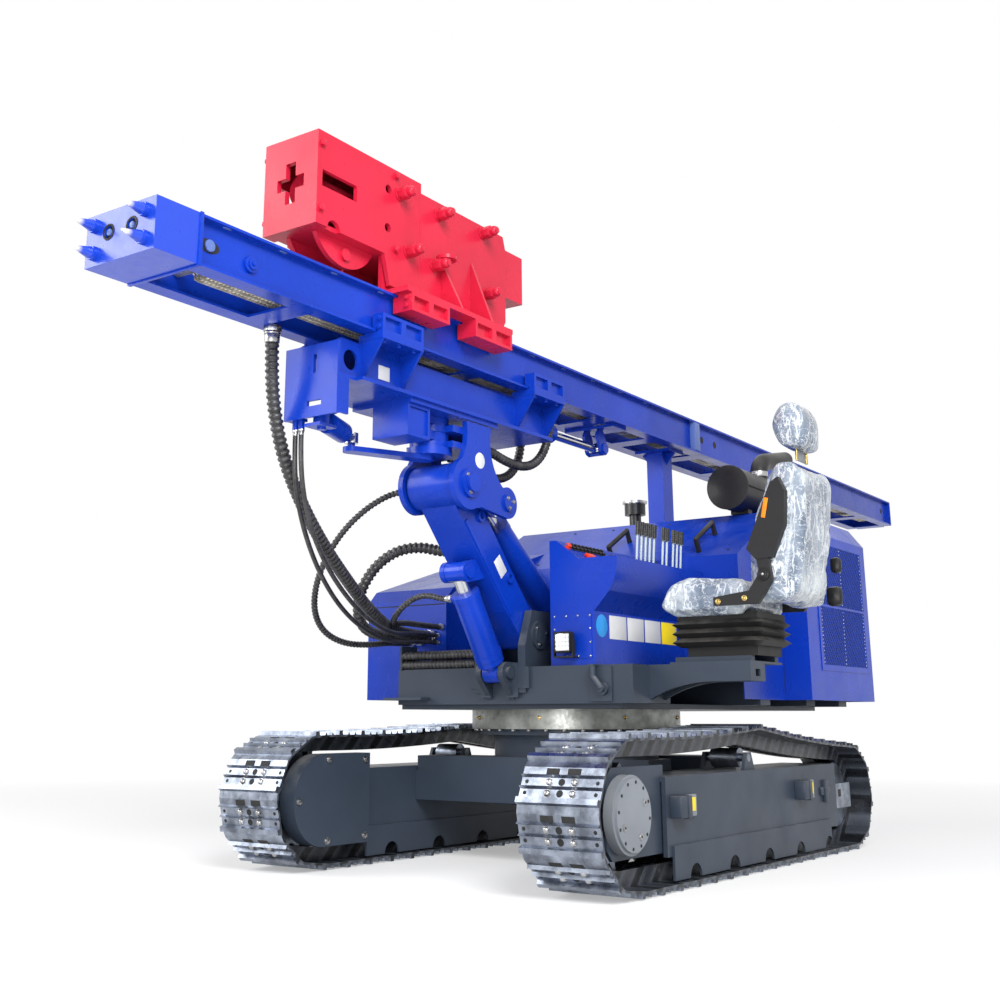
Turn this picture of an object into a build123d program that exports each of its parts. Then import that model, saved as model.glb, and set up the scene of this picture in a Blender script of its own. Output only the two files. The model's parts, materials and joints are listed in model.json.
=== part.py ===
"""Tracked pile driver rig: a mast with a hydraulic hammer, carried by a short boom.

Millimetres. +X points forward, +Y to the left of the machine, +Z up.
The origin is on the ground, on the slewing axis.
"""
from build123d import *
import os
from math import atan2, cos, degrees, hypot, pi, radians, sin, tan

os.makedirs("parts", exist_ok=True)

SIDES = (("left", 1), ("right", -1))
SEAT_GAP = 0.3            # between faces that only rest or slide on each other
RUN_GAP = 0.05            # radial clearance of a pin in its bore

# Tracks: closed loops of triple-rib steel shoes on a link chain
TRACK_Y = 785             # centre line of each track
SHOE_WIDTH = 350
SHOE_COUNT = 40
SPROCKET_X = 1170
SPROCKET_PITCH_R = 240
SPROCKET_TEETH = 19
IDLER_X = -1195
IDLER_PITCH_R = 207
RIB_TOP = 57              # rib tip above the pin line, so also the pin line above the ground
RIB_LOW = 53              # the two narrow ribs wear less
PLATE_TOP = 39
PLATE_UNDER = 30
LINK_DEPTH = 33           # the rail that the rollers run on, inside the pin line
SPROCKET_LIFT = 3
CARRIER_X = -20
CARRIER_PIN_Z = 569
TOP_RUN_SAG = 14
LINK_INNER_Y = 32         # link strips, each side of the track's centre line
LINK_OUTER_Y = 62

SPROCKET_Z = RIB_TOP + SPROCKET_LIFT + SPROCKET_PITCH_R
IDLER_Z = RIB_TOP + IDLER_PITCH_R

# Track frames, between sprocket and idler
FRAME_FRONT_X = 864
FRAME_REAR_X = -1000
FRAME_TOP_Z = 425
FRAME_LOW_Z = 125
FRAME_HALF_WIDTH = 140
FRAME_WALL = 18
GUARD_TOP_Z = 165
GUARD_LOW_Z = 36
GUARD_WALL = 10
GUARD_NOTCH_R = 52
ROLLER_COUNT = 5
ROLLER_FIRST_X = 640
ROLLER_LAST_X = -840
ROLLER_R = 62
ROLLER_HALF_WIDTH = 66
NOSE_FRONT_X = 1290
NOSE_WALL = 15
NOSE_Y = 107              # nose plates, each side of the track's centre line
DRIVE_COVER_R = 132
MOTOR_COVER_R = 195
MOTOR_COVER_REAR_X = 868
MOTOR_COVER_Y = 198       # its flat face, towards the middle of the machine

# Middle of the undercarriage
LEG_FRONT_X = 450
LEG_WIDTH = 210
LEG_LOW_Z = 267
LEG_TOP_Z = 473
TOWER_R = 400
TOWER_TOP_Z = 573
RACE_R = 470
RACE_TOP_Z = 600
RING_R = 510
RING_TOP_Z = 690

# Deck of the upper structure
DECK_PLATE = 22
DECK_FRONT_X = 650
DECK_REAR_X = -1640
DECK_LEFT_Y = 680
DECK_RIGHT_Y = -600
DECK_HALF_WIDTH = 600
DECK_TOP_Z = 875
DECK_BEAM = 120
RAIL_Y = 230
FLOOR_PLATE = 12
HOSE_PLATE_Y = -575       # small upright plate that ends the hose bundle

# Boom, its bracket on the deck and its cylinders, all on the centre plane
BOOM_FOOT = (550, 1020)
BOOM_TOP = (1110, 1645)
BOOM_HALF_WIDTH = 95
BOOM_HALF_DEPTH = 80
BOOM_PIN_R = 42
BARREL_R = 98
BARREL_HALF_WIDTH = 118
BRACKET_INNER_Y = 101
BRACKET_WALL = 40
BRACKET_TOP_Z = 1130
LIFT_FOOT = (700, 848)
LIFT_EYE = (990, 1278)
LIFT_BARREL_R = 62
LIFT_ROD_R = 32
LIFT_EYE_R = 44
LIFT_PIN_R = 26
LIFT_LUG_Y = 46
LIFT_LUG_WALL = 28
LIFT_EAR_Y = 42
LIFT_EAR_WALL = 24
TILT_EYE = (810, 1597)
TILT_FOOT = (150, 1090)
TILT_BARREL_R = 66
TILT_ROD_R = 32
TILT_PIN_R = 28
TILT_EYE_R = 48
ROD_GRIP = 78             # a rod reaches this far into its barrel when its stroke is out
LIFT_STROKE = 90
TILT_STROKE = 361

# Head on the boom, with the upright swing pin
HEAD_INNER_Y = 128
HEAD_WALL = 26
HEAD_TOP_Z = 1920
HEAD_BOSS_R = 116
SWING_X = 1200
SWING_PIN_R = 40
FORK_R = 88
FORK_LOW = (1795, 1822)   # the head's two fork plates, from and to
FORK_HIGH = (1863, 1893)
KNUCKLE_GAP = 1
CAP_LOW_Z = 1762
CAP_R = 100
ARM_LOW_Z = 1740
SWING_CYLINDER_Z = 1800
SWING_FOOT = (1900, 0)
SWING_EYE = (1560, -140)
SWING_EYE_HALF = 22
SWING_BARREL_R = 44
SWING_ROD_R = 22
SWING_PIN = 18

# Mast: two rolled beams with the feed chain between them
MAST_FRONT_X = 2935
MAST_REAR_X = -4690
MAST_LOW_Z = 2160
MAST_HEIGHT = 190
MAST_TOP_Z = MAST_LOW_Z + MAST_HEIGHT
MAST_HALF_WIDTH = 180
FLANGE_WALL = 10
FLANGE_WIDTH = 74
WEB_WALL = 10
FOOT_LENGTH = 200
FOOT_PLATE = 20
FOOT_BORE_R = 22
FOOT_BORE_Y = 60
SPIKE_R = 22
SPIKE_LENGTH = 95
STRIP_PITCH = 570         # cross strips under the mast
STRIP_WIDTH = 110
CHAIN_HALF_WIDTH = 22
CHAIN_THICKNESS = 22
CHAIN_WHEEL_R = 62
CLEVIS_X = -272           # where the slide cylinder's rod pulls the mast
CLEVIS_PIN_R = 20

# Cradle that the mast slides in
CRADLE_FRONT_X = 1970
CRADLE_REAR_X = 400
CRADLE_SIDE_Y = 100
CRADLE_WALL = 12
CRADLE_TOP_Z = 2120
TRAY_LOW_Z = 1945
TRAY_WALL = 15
TRAY_HALF_WIDTH = 175
TRAY_FRONT_X = 1860
KNUCKLE_PLATE = (900, 1535)
CELL_SPAN = (1386, 1535)
FRONT_PLATE_LOW_Z = 1795
FRONT_PLATE_TOP_Z = 2090
FRONT_PLATE_HALF = 140
SHELF_LOW_Z = 2130
SHELF_TOP_Z = 2155
GUIDE_Y = 186             # inner face of the guide blocks, beside the flanges
GUIDE_WALL = 29
GUIDE_LIP = 26
GUIDE_TOP_Z = 2235
GUIDE_SPANS = ((1522, 1789), (401, 671))
SLIDE_CYLINDER_Z = 2050
SLIDE_BARREL_R = 45
SLIDE_ROD_R = 22
SLIDE_BARREL = (200, 1560)

# Hammer and its carriage
HAMMER_FRONT_X = 2125
HAMMER_LENGTH = 1318      # over the side plates; the breaker's core reaches further back
HAMMER_NOSE = 659         # length of the tall front part
HAMMER_HALF_WIDTH = 145
HAMMER_WALL = 20
HAMMER_LOW_Z = MAST_TOP_Z + 180
HAMMER_HEIGHT = 398
HAMMER_TOP_Z = HAMMER_LOW_Z + HAMMER_HEIGHT
HAMMER_REAR_X = HAMMER_FRONT_X - HAMMER_LENGTH
NOSE_REAR_X = HAMMER_FRONT_X - HAMMER_NOSE
HAMMER_MID_Z = (HAMMER_LOW_Z + HAMMER_TOP_Z) / 2
CORE_HALF_HEIGHT = 120
CORE_HALF_WIDTH = 105
CORE_TAIL = 205
CROSS_REACH = 88          # plus-shaped opening in the front plate
CROSS_HALF_BAR = 27
STUD_R = 15
STUD_REACH = 85
CARRIAGE_FRONT_X = 1690
CARRIAGE_REAR_X = 919
CARRIAGE_PLATE = 22
CARRIAGE_HALF_WIDTH = 260
CARRIAGE_DROP = 78        # the guide blocks hang this far below the mast's top
CARRIAGE_SPANS = ((1400, 1660), (925, 1210))
GUSSETS = ((1306, 2610), (1081, 2670))    # x, height

# Console, seat and hood on the upper structure
CONSOLE_FRONT_X = 620
CONSOLE_REAR_X = -235
CONSOLE_RIGHT_Y = 252
CONSOLE_LEFT_Y = 600
CONSOLE_FOOT_Y = 480
CONSOLE_TOP_Z = 1437
CONSOLE_DESK_Z = 1347
CONSOLE_WALL = 4
LEVER_Y = 500
LEVER_GROUPS = ((250, 5), (-10, 2), (-120, 3))    # x of the first, how many
LEVER_PITCH = 42
LAMP_SIZE = 92
SEAT_X = 335
SEAT_WIDTH = 470
SEAT_FRONT_Y = 750
SEAT_BACK_Y = 1180
SEAT_BASE_Z = 905
CUSHION_LOW_Z = 1085
CUSHION_TOP_Z = 1225
BACK_TOP_Z = 1720
HEADREST_LOW_Z = 1760
SEAT_ARM_SPAN = (350, 500)
SEAT_ARM_END_Y = 1150
HOOD_REAR_X = -1715
HOOD_FRONT_X = -245
HOOD_LOW_Z = 738
HOOD_EAVE_Z = 1430
HOOD_SHOULDER_Z = 1600
HOOD_ROOF_Z = 1705
HOOD_SIDE_Y = 790
HOOD_BULGE_Y = 930
HOOD_BULGE_X = -750
HOOD_WALL = 5
RIGHT_BLOCK_FRONT_X = 470
RIGHT_BLOCK_Y = -950
RIGHT_BLOCK_INNER_Y = -450
RIGHT_BLOCK_TOP_Z = 1285
REST_X = -1000
MUFFLER_Y = 600
MUFFLER_Z = 1830
MUFFLER_R = 115
STACK_X = -1020
STACK_R = 48
STACK_RISE = 200          # from the drum's axis to the bend
STACK_REACH = 400
STACK_END_RISE = 80       # from the bend to the open end
STACK_BEND_R = 110

# Hydraulic hoses: diameter of the sleeve, and the corners of the route
HOSES = {
    "hose_mast": (50, ((2080, -112, 2159.7), (2080, -112, 2030), (2045, -128, 1850), (1950, -160, 1665),
                       (1785, -205, 1495), (1570, -270, 1350), (1330, -345, 1230), (1080, -430, 1125),
                       (850, -500, 1060), (660, -535, 1040), (470.3, -535, 1040))),
    "hose_cradle_a": (20, ((1930, -112, 1764.7), (1930, -112, 1660), (1905, -125, 1540), (1840, -150, 1420),
                           (1730, -195, 1305), (1580, -255, 1200), (1400, -320, 1110), (1200, -385, 1045),
                           (990, -440, 1005), (800, -480, 995), (640, -495, 1010), (470.3, -495, 1010))),
    "hose_cradle_b": (20, ((1930, -80, 1764.7), (1930, -80, 1650), (1895, -92, 1510), (1810, -120, 1375),
                           (1670, -165, 1255), (1490, -225, 1160), (1290, -295, 1090), (1090, -360, 1045),
                           (900, -425, 1030), (740, -480, 1040), (620, -495, 1045), (470.3, -495, 1045))),
    "hose_head": (26, ((1110, -185.3, 1645), (1110, -240, 1645), (1145, -300, 1622), (1200, -375, 1560),
                       (1245, -455, 1470), (1260, -545, 1350), (1235, -625, 1225), (1165, -690, 1115),
                       (1060, -720, 1035), (930, -710, 992), (790, -680, 990), (640, -660, 1010),
                       (470.3, -660, 1010))),
    "hose_boom": (52, ((850, -95.3, 1395), (850, -185, 1395), (885, -290, 1425), (950, -390, 1405),
                       (1005, -475, 1325), (1020, -545, 1210), (975, -590, 1100), (870, -607, 1040),
                       (690, -600, 1030), (470.3, -600, 1030))),
    "hose_lift": (28, ((917, -80.3, 1170), (917, -135, 1170), (930, -195, 1190), (945, -255, 1188),
                       (955, -315, 1160), (950, -375, 1115), (915, -425, 1085), (850, -460, 1080),
                       (760, -472, 1090), (630, -475, 1085), (470.3, -475, 1085))),
    "hose_bundle": (100, ((622, -BRACKET_INNER_Y - BRACKET_WALL - SEAT_GAP, DECK_TOP_Z + 50 + SEAT_GAP),
                          (622, HOSE_PLATE_Y + SEAT_GAP, DECK_TOP_Z + 50 + SEAT_GAP))),
    "hose_rear_left": (44, ((330, 85, 2159.7), (330, 85, 2075), (352, 82, 1975), (405, 80, 1890),
                            (490, 78, 1830), (600, 75, 1808), (720, 72, 1818), (840, 70, 1845),
                            (959.7, 70, 1845))),
    "hose_rear_right": (44, ((330, -85, 2159.7), (330, -85, 2065), (345, -82, 1955), (390, -80, 1860),
                             (470, -78, 1795), (580, -76, 1765), (700, -73, 1775), (830, -70, 1815),
                             (959.7, -70, 1815))),
}


def side_plane(y):
    """Upright plane along the machine: x forward, y up."""
    return Plane.XZ.offset(-y)


def cross_plane(x):
    """Upright plane across the machine: x to the left, y up."""
    return Plane.YZ.offset(x)


def slab(plane, outline, thickness, mode=Mode.ADD):
    """A plate of a closed outline, its thickness shared by both sides of the plane."""
    with BuildSketch(plane) as profile:
        with BuildLine():
            Polyline(*outline, close=True)
        make_face()
    extrude(profile.sketch, amount=thickness / 2, both=True, mode=mode)


def block(xs, ys, zs, mode=Mode.ADD):
    """A box between two values on each axis."""
    with Locations(((xs[0] + xs[1]) / 2, (ys[0] + ys[1]) / 2, (zs[0] + zs[1]) / 2)):
        Box(abs(xs[1] - xs[0]), abs(ys[1] - ys[0]), abs(zs[1] - zs[0]), mode=mode)


def round_bar(start, end, radius, mode=Mode.ADD):
    """A round bar between two points."""
    start, end = Vector(*start), Vector(*end)
    with BuildSketch(Plane(origin=start, z_dir=end - start)) as section:
        Circle(radius)
    extrude(section.sketch, amount=(end - start).length, mode=mode)


def cross_bar(x, z, radius, ys, mode=Mode.ADD):
    """A round bar across the machine, at x and z."""
    round_bar((x, min(ys), z), (x, max(ys), z), radius, mode)


def between(start, end, share):
    """The point at a share of the way from start to end."""
    return tuple(a + (b - a) * share for a, b in zip(start, end))


def off_line(start, end, along, out):
    """A point at a distance along the line from start, and out to its left side."""
    length = hypot(end[0] - start[0], end[1] - start[1])
    ux, uz = (end[0] - start[0]) / length, (end[1] - start[1]) / length
    return start[0] + ux * along - uz * out, start[1] + uz * along + ux * out


def link_plate(start, end, radius, y, wall, mode=Mode.ADD):
    """A plate with two round ends, about two pins."""
    with BuildSketch(side_plane(y)) as profile:
        for point in (start, end):
            with Locations(point):
                Circle(radius)
        make_hull()
    extrude(profile.sketch, amount=wall / 2, both=True, mode=mode)


def pin_line():
    """The closed line that the chain's pins follow, as edges in order."""
    sprocket_top = SPROCKET_Z + SPROCKET_PITCH_R
    idler_top = IDLER_Z + IDLER_PITCH_R
    front_slope = degrees(atan2(CARRIER_PIN_Z - sprocket_top, SPROCKET_X - CARRIER_X))
    rear_slope = degrees(atan2(CARRIER_PIN_Z - idler_top, CARRIER_X - IDLER_X))
    front_top = (SPROCKET_X + SPROCKET_PITCH_R * sin(radians(front_slope)),
                 SPROCKET_Z + SPROCKET_PITCH_R * cos(radians(front_slope)))
    rear_top = (IDLER_X - IDLER_PITCH_R * sin(radians(rear_slope)),
                IDLER_Z + IDLER_PITCH_R * cos(radians(rear_slope)))
    carrier = (CARRIER_X, CARRIER_PIN_Z)
    front_mid = between(front_top, carrier, 0.5)
    rear_mid = between(carrier, rear_top, 0.5)
    with BuildLine(Plane.XZ) as line:
        ground = Line((IDLER_X, RIB_TOP), (SPROCKET_X, RIB_TOP + SPROCKET_LIFT))
        front = CenterArc((SPROCKET_X, SPROCKET_Z), SPROCKET_PITCH_R, -90, 180 - front_slope)
        run_front = ThreePointArc(front_top, (front_mid[0], front_mid[1] - TOP_RUN_SAG), carrier)
        run_rear = ThreePointArc(carrier, (rear_mid[0], rear_mid[1] - TOP_RUN_SAG), rear_top)
        rear = CenterArc((IDLER_X, IDLER_Z), IDLER_PITCH_R, 90 + rear_slope, 180 - rear_slope)
    return ground, front, run_front, run_rear, rear


def pins():
    """One pin for each shoe, evenly spaced along the pin line."""
    edges = pin_line()
    total = sum(edge.length for edge in edges)
    found = []
    for number in range(SHOE_COUNT):
        left = total * number / SHOE_COUNT
        for edge in edges:
            if left <= edge.length:
                spot = edge @ (left / edge.length)
                found.append((spot.X, spot.Z))
                break
            left -= edge.length
    return found


PINS = pins()

# One shoe in section: share of the pitch, height above the pin line
SHOE_SECTION = (
    (0.03, PLATE_TOP), (0.05, RIB_TOP), (0.19, RIB_TOP), (0.21, PLATE_TOP),
    (0.43, PLATE_TOP), (0.475, RIB_LOW), (0.52, PLATE_TOP),
    (0.72, PLATE_TOP), (0.765, RIB_LOW), (0.81, PLATE_TOP), (0.99, PLATE_TOP),
)


def along_track(section):
    """The section's points repeated for every shoe, round the loop."""
    points = []
    for number, start in enumerate(PINS):
        end = PINS[(number + 1) % SHOE_COUNT]
        length = hypot(end[0] - start[0], end[1] - start[1])
        for share, height in section:
            points.append(off_line(start, end, share * length, -height))
    return points


def rail(height):
    """A closed line at a fixed distance from the links, mitred at every pin."""
    points = []
    for number, pin in enumerate(PINS):
        before = PINS[number - 1]
        after = PINS[(number + 1) % SHOE_COUNT]
        low = off_line(before, pin, 0, -1)
        high = off_line(pin, after, 0, -1)
        normals = ((low[0] - before[0], low[1] - before[1]), (high[0] - pin[0], high[1] - pin[1]))
        mitre = (normals[0][0] + normals[1][0], normals[0][1] + normals[1][1])
        scale = height / (mitre[0] * normals[0][0] + mitre[1] * normals[0][1])
        points.append((pin[0] + mitre[0] * scale, pin[1] + mitre[1] * scale))
    return points


def track(label, side):
    """Shoes and link strips of one side, as one closed loop."""
    centre = side * TRACK_Y
    with BuildPart() as loop:
        slab(side_plane(centre), along_track(SHOE_SECTION), SHOE_WIDTH)
        slab(side_plane(centre), along_track(((0.02, PLATE_UNDER), (0.98, PLATE_UNDER))),
             SHOE_WIDTH, Mode.SUBTRACT)
        strip = (LINK_INNER_Y + LINK_OUTER_Y) / 2
        for offset in (-strip, strip):
            with BuildSketch(side_plane(centre + offset)) as links:
                with BuildLine():
                    Polyline(*rail(PLATE_UNDER + 2), close=True)
                make_face()
                with BuildLine():
                    Polyline(*rail(-LINK_DEPTH), close=True)
                make_face(mode=Mode.SUBTRACT)
            extrude(links.sketch, amount=(LINK_OUTER_Y - LINK_INNER_Y) / 2, both=True)
    loop.part.label = label
    export_step(loop.part, f"parts/{label}.step")


def chord_radius(pitch_radius):
    """Least radius of the link rail round a wheel, where the chain makes corners."""
    pitch = sum(edge.length for edge in pin_line()) / SHOE_COUNT
    half = pitch / 2 / pitch_radius
    return pitch_radius * cos(half) - LINK_DEPTH


def tooth_points(root, tip, teeth):
    """Outline of a toothed ring round the sprocket's axis."""
    points = []
    for number in range(teeth):
        for share, radius in ((-0.32, root), (-0.12, tip), (0.12, tip), (0.32, root)):
            angle = radians(360 / teeth * (number + share))
            points.append((SPROCKET_X + radius * cos(angle), SPROCKET_Z + radius * sin(angle)))
    return points


def sprocket(label, side):
    """Toothed ring between the link strips, on its drive hub."""
    centre = side * TRACK_Y
    root = chord_radius(SPROCKET_PITCH_R) - 6
    tip = SPROCKET_PITCH_R - 2
    with BuildPart() as wheel:
        slab(side_plane(centre), tooth_points(root, tip, SPROCKET_TEETH), 44)
        cross_bar(SPROCKET_X, SPROCKET_Z, 118, (centre - 99, centre + 99))
    wheel.part.label = label
    export_step(wheel.part, f"parts/{label}.step")


def roller_places():
    step = (ROLLER_LAST_X - ROLLER_FIRST_X) / (ROLLER_COUNT - 1)
    return [ROLLER_FIRST_X + step * number for number in range(ROLLER_COUNT)]


def roller_z(x):
    """Height of a bottom roller that just clears the link rail at x."""
    lift = SPROCKET_LIFT * (x - IDLER_X) / (SPROCKET_X - IDLER_X)
    return RIB_TOP + lift + LINK_DEPTH + SEAT_GAP + ROLLER_R


INNER_WALL_Y = FRAME_HALF_WIDTH - FRAME_WALL


def running_gear(label, side):
    """Idler, bottom rollers and carrier roller of one side."""
    centre = side * TRACK_Y
    idler_r = chord_radius(IDLER_PITCH_R) - SEAT_GAP
    reach = INNER_WALL_Y - SEAT_GAP
    with BuildPart() as gear:
        for x in roller_places():
            z = roller_z(x)
            cross_bar(x, z, ROLLER_R, (centre - ROLLER_HALF_WIDTH, centre + ROLLER_HALF_WIDTH))
            cross_bar(x, z, 24, (centre - reach, centre + reach))
        cross_bar(IDLER_X, IDLER_Z, idler_r, (centre - LINK_OUTER_Y, centre + LINK_OUTER_Y))
        cross_bar(IDLER_X, IDLER_Z, 48, (centre - reach + 12, centre + reach - 12))
        block((IDLER_X - 60, FRAME_REAR_X + 250), (centre - reach, centre - reach + 30),
              (IDLER_Z - 60, IDLER_Z + 60))
        block((IDLER_X - 60, FRAME_REAR_X + 250), (centre + reach - 30, centre + reach),
              (IDLER_Z - 60, IDLER_Z + 60))
        carrier_z = CARRIER_PIN_Z - LINK_DEPTH - TOP_RUN_SAG - 45
        cross_bar(CARRIER_X, carrier_z, 42, (centre - ROLLER_HALF_WIDTH, centre + ROLLER_HALF_WIDTH))
        cross_bar(CARRIER_X, carrier_z, 18, (centre - 108, centre + 108))
    gear.part.label = label
    export_step(gear.part, f"parts/{label}.step")


def track_frame(label, side):
    """Downward-open beam with roller guards, nose plates and carrier roller posts."""
    centre = side * TRACK_Y
    with BuildPart() as frame:
        block((FRAME_REAR_X, FRAME_FRONT_X), (centre - FRAME_HALF_WIDTH, centre + FRAME_HALF_WIDTH),
              (FRAME_LOW_Z, FRAME_TOP_Z))
        block((FRAME_REAR_X - 1, FRAME_FRONT_X + 1), (centre - INNER_WALL_Y, centre + INNER_WALL_Y),
              (FRAME_LOW_Z - 1, FRAME_TOP_Z - 20), Mode.SUBTRACT)
        for sign in (-1, 1):
            guard_y = centre + sign * (FRAME_HALF_WIDTH + GUARD_WALL / 2)
            block((FRAME_REAR_X + 120, FRAME_FRONT_X - 40),
                  (guard_y - GUARD_WALL / 2, guard_y + GUARD_WALL / 2),
                  (GUARD_LOW_Z, GUARD_TOP_Z))
            for x in roller_places():
                cross_bar(x, GUARD_LOW_Z, GUARD_NOTCH_R,
                          (guard_y - GUARD_WALL, guard_y + GUARD_WALL), Mode.SUBTRACT)
            nose_y = centre + sign * NOSE_Y
            slab(side_plane(nose_y), ((FRAME_FRONT_X - 30, 140), (FRAME_FRONT_X - 30, 470),
                                      (NOSE_FRONT_X - 40, 470), (NOSE_FRONT_X, 430),
                                      (NOSE_FRONT_X, 180), (NOSE_FRONT_X - 40, 140)), NOSE_WALL)
            post_y = centre + sign * 100
            slab(side_plane(post_y), ((CARRIER_X - 60, FRAME_TOP_Z - 5), (CARRIER_X - 25, 500),
                                      (CARRIER_X + 25, 500), (CARRIER_X + 60, FRAME_TOP_Z - 5)), 16)
        cross_bar(SPROCKET_X, SPROCKET_Z, 118 + SEAT_GAP, (centre - 101, centre + 101), Mode.SUBTRACT)
        carrier_z = CARRIER_PIN_Z - LINK_DEPTH - TOP_RUN_SAG - 45
        cross_bar(CARRIER_X, carrier_z, 18 + SEAT_GAP, (centre - 110, centre + 110), Mode.SUBTRACT)
    frame.part.label = label
    export_step(frame.part, f"parts/{label}.step")


def drive_covers(side_name, side):
    """Round cover outside and D-shaped motor cover inside, on the nose plates."""
    face = NOSE_Y + NOSE_WALL / 2
    centre = side * TRACK_Y
    with BuildPart() as cover:
        outer = (centre + side * (face + SEAT_GAP), centre + side * (face + 40))
        cross_bar(SPROCKET_X, SPROCKET_Z, DRIVE_COVER_R + 12, outer)
        cross_bar(SPROCKET_X, SPROCKET_Z, DRIVE_COVER_R, (centre + side * face + side * 20,
                                                          centre + side * (face + 52)))
    cover.part.label = f"drive_cover_{side_name}"
    export_step(cover.part, f"parts/drive_cover_{side_name}.step")
    with BuildPart() as housing:
        with BuildSketch(side_plane(centre - side * (face + SEAT_GAP + MOTOR_COVER_Y) / 2)) as outline:
            with Locations((SPROCKET_X, SPROCKET_Z)):
                Circle(MOTOR_COVER_R)
            with Locations(((SPROCKET_X + MOTOR_COVER_REAR_X) / 2, SPROCKET_Z)):
                Rectangle(SPROCKET_X - MOTOR_COVER_REAR_X, 2 * MOTOR_COVER_R)
        extrude(outline.sketch, amount=(MOTOR_COVER_Y - face - SEAT_GAP) / 2, both=True)
    housing.part.label = f"motor_cover_{side_name}"
    export_step(housing.part, f"parts/motor_cover_{side_name}.step")


for side_name, side in SIDES:
    track(f"track_{side_name}", side)
    sprocket(f"sprocket_{side_name}", side)
    running_gear(f"running_gear_{side_name}", side)
    track_frame(f"track_frame_{side_name}", side)
    drive_covers(side_name, side)

# Middle of the undercarriage: two cross legs, a centre box and the tower
INNER_FRAME_Y = TRACK_Y - FRAME_HALF_WIDTH - GUARD_WALL - SEAT_GAP
with BuildPart() as carbody:
    for low_x in (LEG_FRONT_X - LEG_WIDTH, -LEG_FRONT_X):
        block((low_x, low_x + LEG_WIDTH), (-INNER_FRAME_Y, INNER_FRAME_Y), (LEG_LOW_Z, LEG_TOP_Z))
        for sign in (-1, 1):
            reach = TRACK_Y - FRAME_HALF_WIDTH - SEAT_GAP
            block((low_x, low_x + LEG_WIDTH), (sign * (INNER_FRAME_Y - 30), sign * reach),
                  (LEG_LOW_Z, FRAME_TOP_Z - 20))
    block((-LEG_FRONT_X + LEG_WIDTH - 5, LEG_FRONT_X - LEG_WIDTH + 5), (-330, 330),
          (LEG_LOW_Z - 20, LEG_TOP_Z))
    round_bar((0, 0, LEG_TOP_Z - 100), (0, 0, TOWER_TOP_Z), TOWER_R)
    round_bar((0, 0, LEG_LOW_Z - 30), (0, 0, TOWER_TOP_Z + 1), 150, Mode.SUBTRACT)
carbody.part.label = "carbody"
export_step(carbody.part, "parts/carbody.step")

with BuildPart() as slew_race:
    round_bar((0, 0, TOWER_TOP_Z), (0, 0, RACE_TOP_Z), RACE_R)
    round_bar((0, 0, TOWER_TOP_Z - 1), (0, 0, RACE_TOP_Z + 1), 330, Mode.SUBTRACT)
slew_race.part.label = "slew_race"
export_step(slew_race.part, "parts/slew_race.step")

with BuildPart() as slew_ring:
    round_bar((0, 0, RACE_TOP_Z + SEAT_GAP), (0, 0, RING_TOP_Z), RING_R)
    round_bar((0, 0, RACE_TOP_Z - 1), (0, 0, RING_TOP_Z + 1), 330, Mode.SUBTRACT)
slew_ring.part.label = "slew_ring"
export_step(slew_ring.part, "parts/slew_ring.step")

# Deck: a bottom plate, a front cross beam, two long rails, outriggers and a floor
BEAM_LOW_Z = RING_TOP_Z + DECK_PLATE
OUTRIGGER_REACH = HOOD_SIDE_Y - HOOD_WALL - SEAT_GAP
with BuildPart() as deck:
    block((DECK_REAR_X, DECK_FRONT_X - 30), (-DECK_HALF_WIDTH, DECK_HALF_WIDTH),
          (RING_TOP_Z, BEAM_LOW_Z))
    block((DECK_FRONT_X - DECK_BEAM, DECK_FRONT_X), (DECK_RIGHT_Y, DECK_LEFT_Y),
          (BEAM_LOW_Z - 1, DECK_TOP_Z))
    for y in (-RAIL_Y, RAIL_Y):
        block((DECK_REAR_X, DECK_FRONT_X - 50), (y - DECK_BEAM / 2, y + DECK_BEAM / 2),
              (BEAM_LOW_Z - 1, DECK_TOP_Z))
    for x in (-500, -1100, DECK_REAR_X + DECK_BEAM / 2):
        block((x - DECK_BEAM / 2, x + DECK_BEAM / 2), (-OUTRIGGER_REACH, OUTRIGGER_REACH),
              (BEAM_LOW_Z - 1, DECK_TOP_Z))
    block((HOOD_FRONT_X, DECK_FRONT_X - 50), (DECK_RIGHT_Y, DECK_LEFT_Y),
          (DECK_TOP_Z - FLOOR_PLATE, DECK_TOP_Z))
    block((SEAT_ARM_SPAN[0] - 40, DECK_FRONT_X - 60), (DECK_LEFT_Y - 90, DECK_LEFT_Y),
          (BEAM_LOW_Z, DECK_TOP_Z - 1))
    # Welded cover plate with a bent pipe and its nut, and the tow plate at the right end
    block((DECK_FRONT_X - 1, DECK_FRONT_X + 8), (470, 580), (BEAM_LOW_Z + 8, DECK_TOP_Z - 8))
    round_bar((DECK_FRONT_X + 7, 540, BEAM_LOW_Z + 60), (DECK_FRONT_X + 24, 540, BEAM_LOW_Z + 60), 26)
    round_bar((DECK_FRONT_X + 23, 540, BEAM_LOW_Z + 60), (DECK_FRONT_X + 40, 540, BEAM_LOW_Z + 60), 14)
    round_bar((DECK_FRONT_X + 30, 540, BEAM_LOW_Z + 60), (DECK_FRONT_X + 30, 500, BEAM_LOW_Z + 110), 14)
    round_bar((DECK_FRONT_X + 30, 500, BEAM_LOW_Z + 110), (DECK_FRONT_X + 30, 500, DECK_TOP_Z), 14)
    block((DECK_FRONT_X - 10, DECK_FRONT_X + 44), (486, 514), (DECK_TOP_Z - 6, DECK_TOP_Z + 2))
    block((DECK_FRONT_X - 1, DECK_FRONT_X + 70), (DECK_RIGHT_Y - 40, DECK_RIGHT_Y + 190),
          (BEAM_LOW_Z + 20, BEAM_LOW_Z + 32))
    block((DECK_FRONT_X - 110, DECK_FRONT_X + 10), (HOSE_PLATE_Y - 10, HOSE_PLATE_Y),
          (DECK_TOP_Z - 1, DECK_TOP_Z + 112))
deck.part.label = "deck"
export_step(deck.part, "parts/deck.step")

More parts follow.
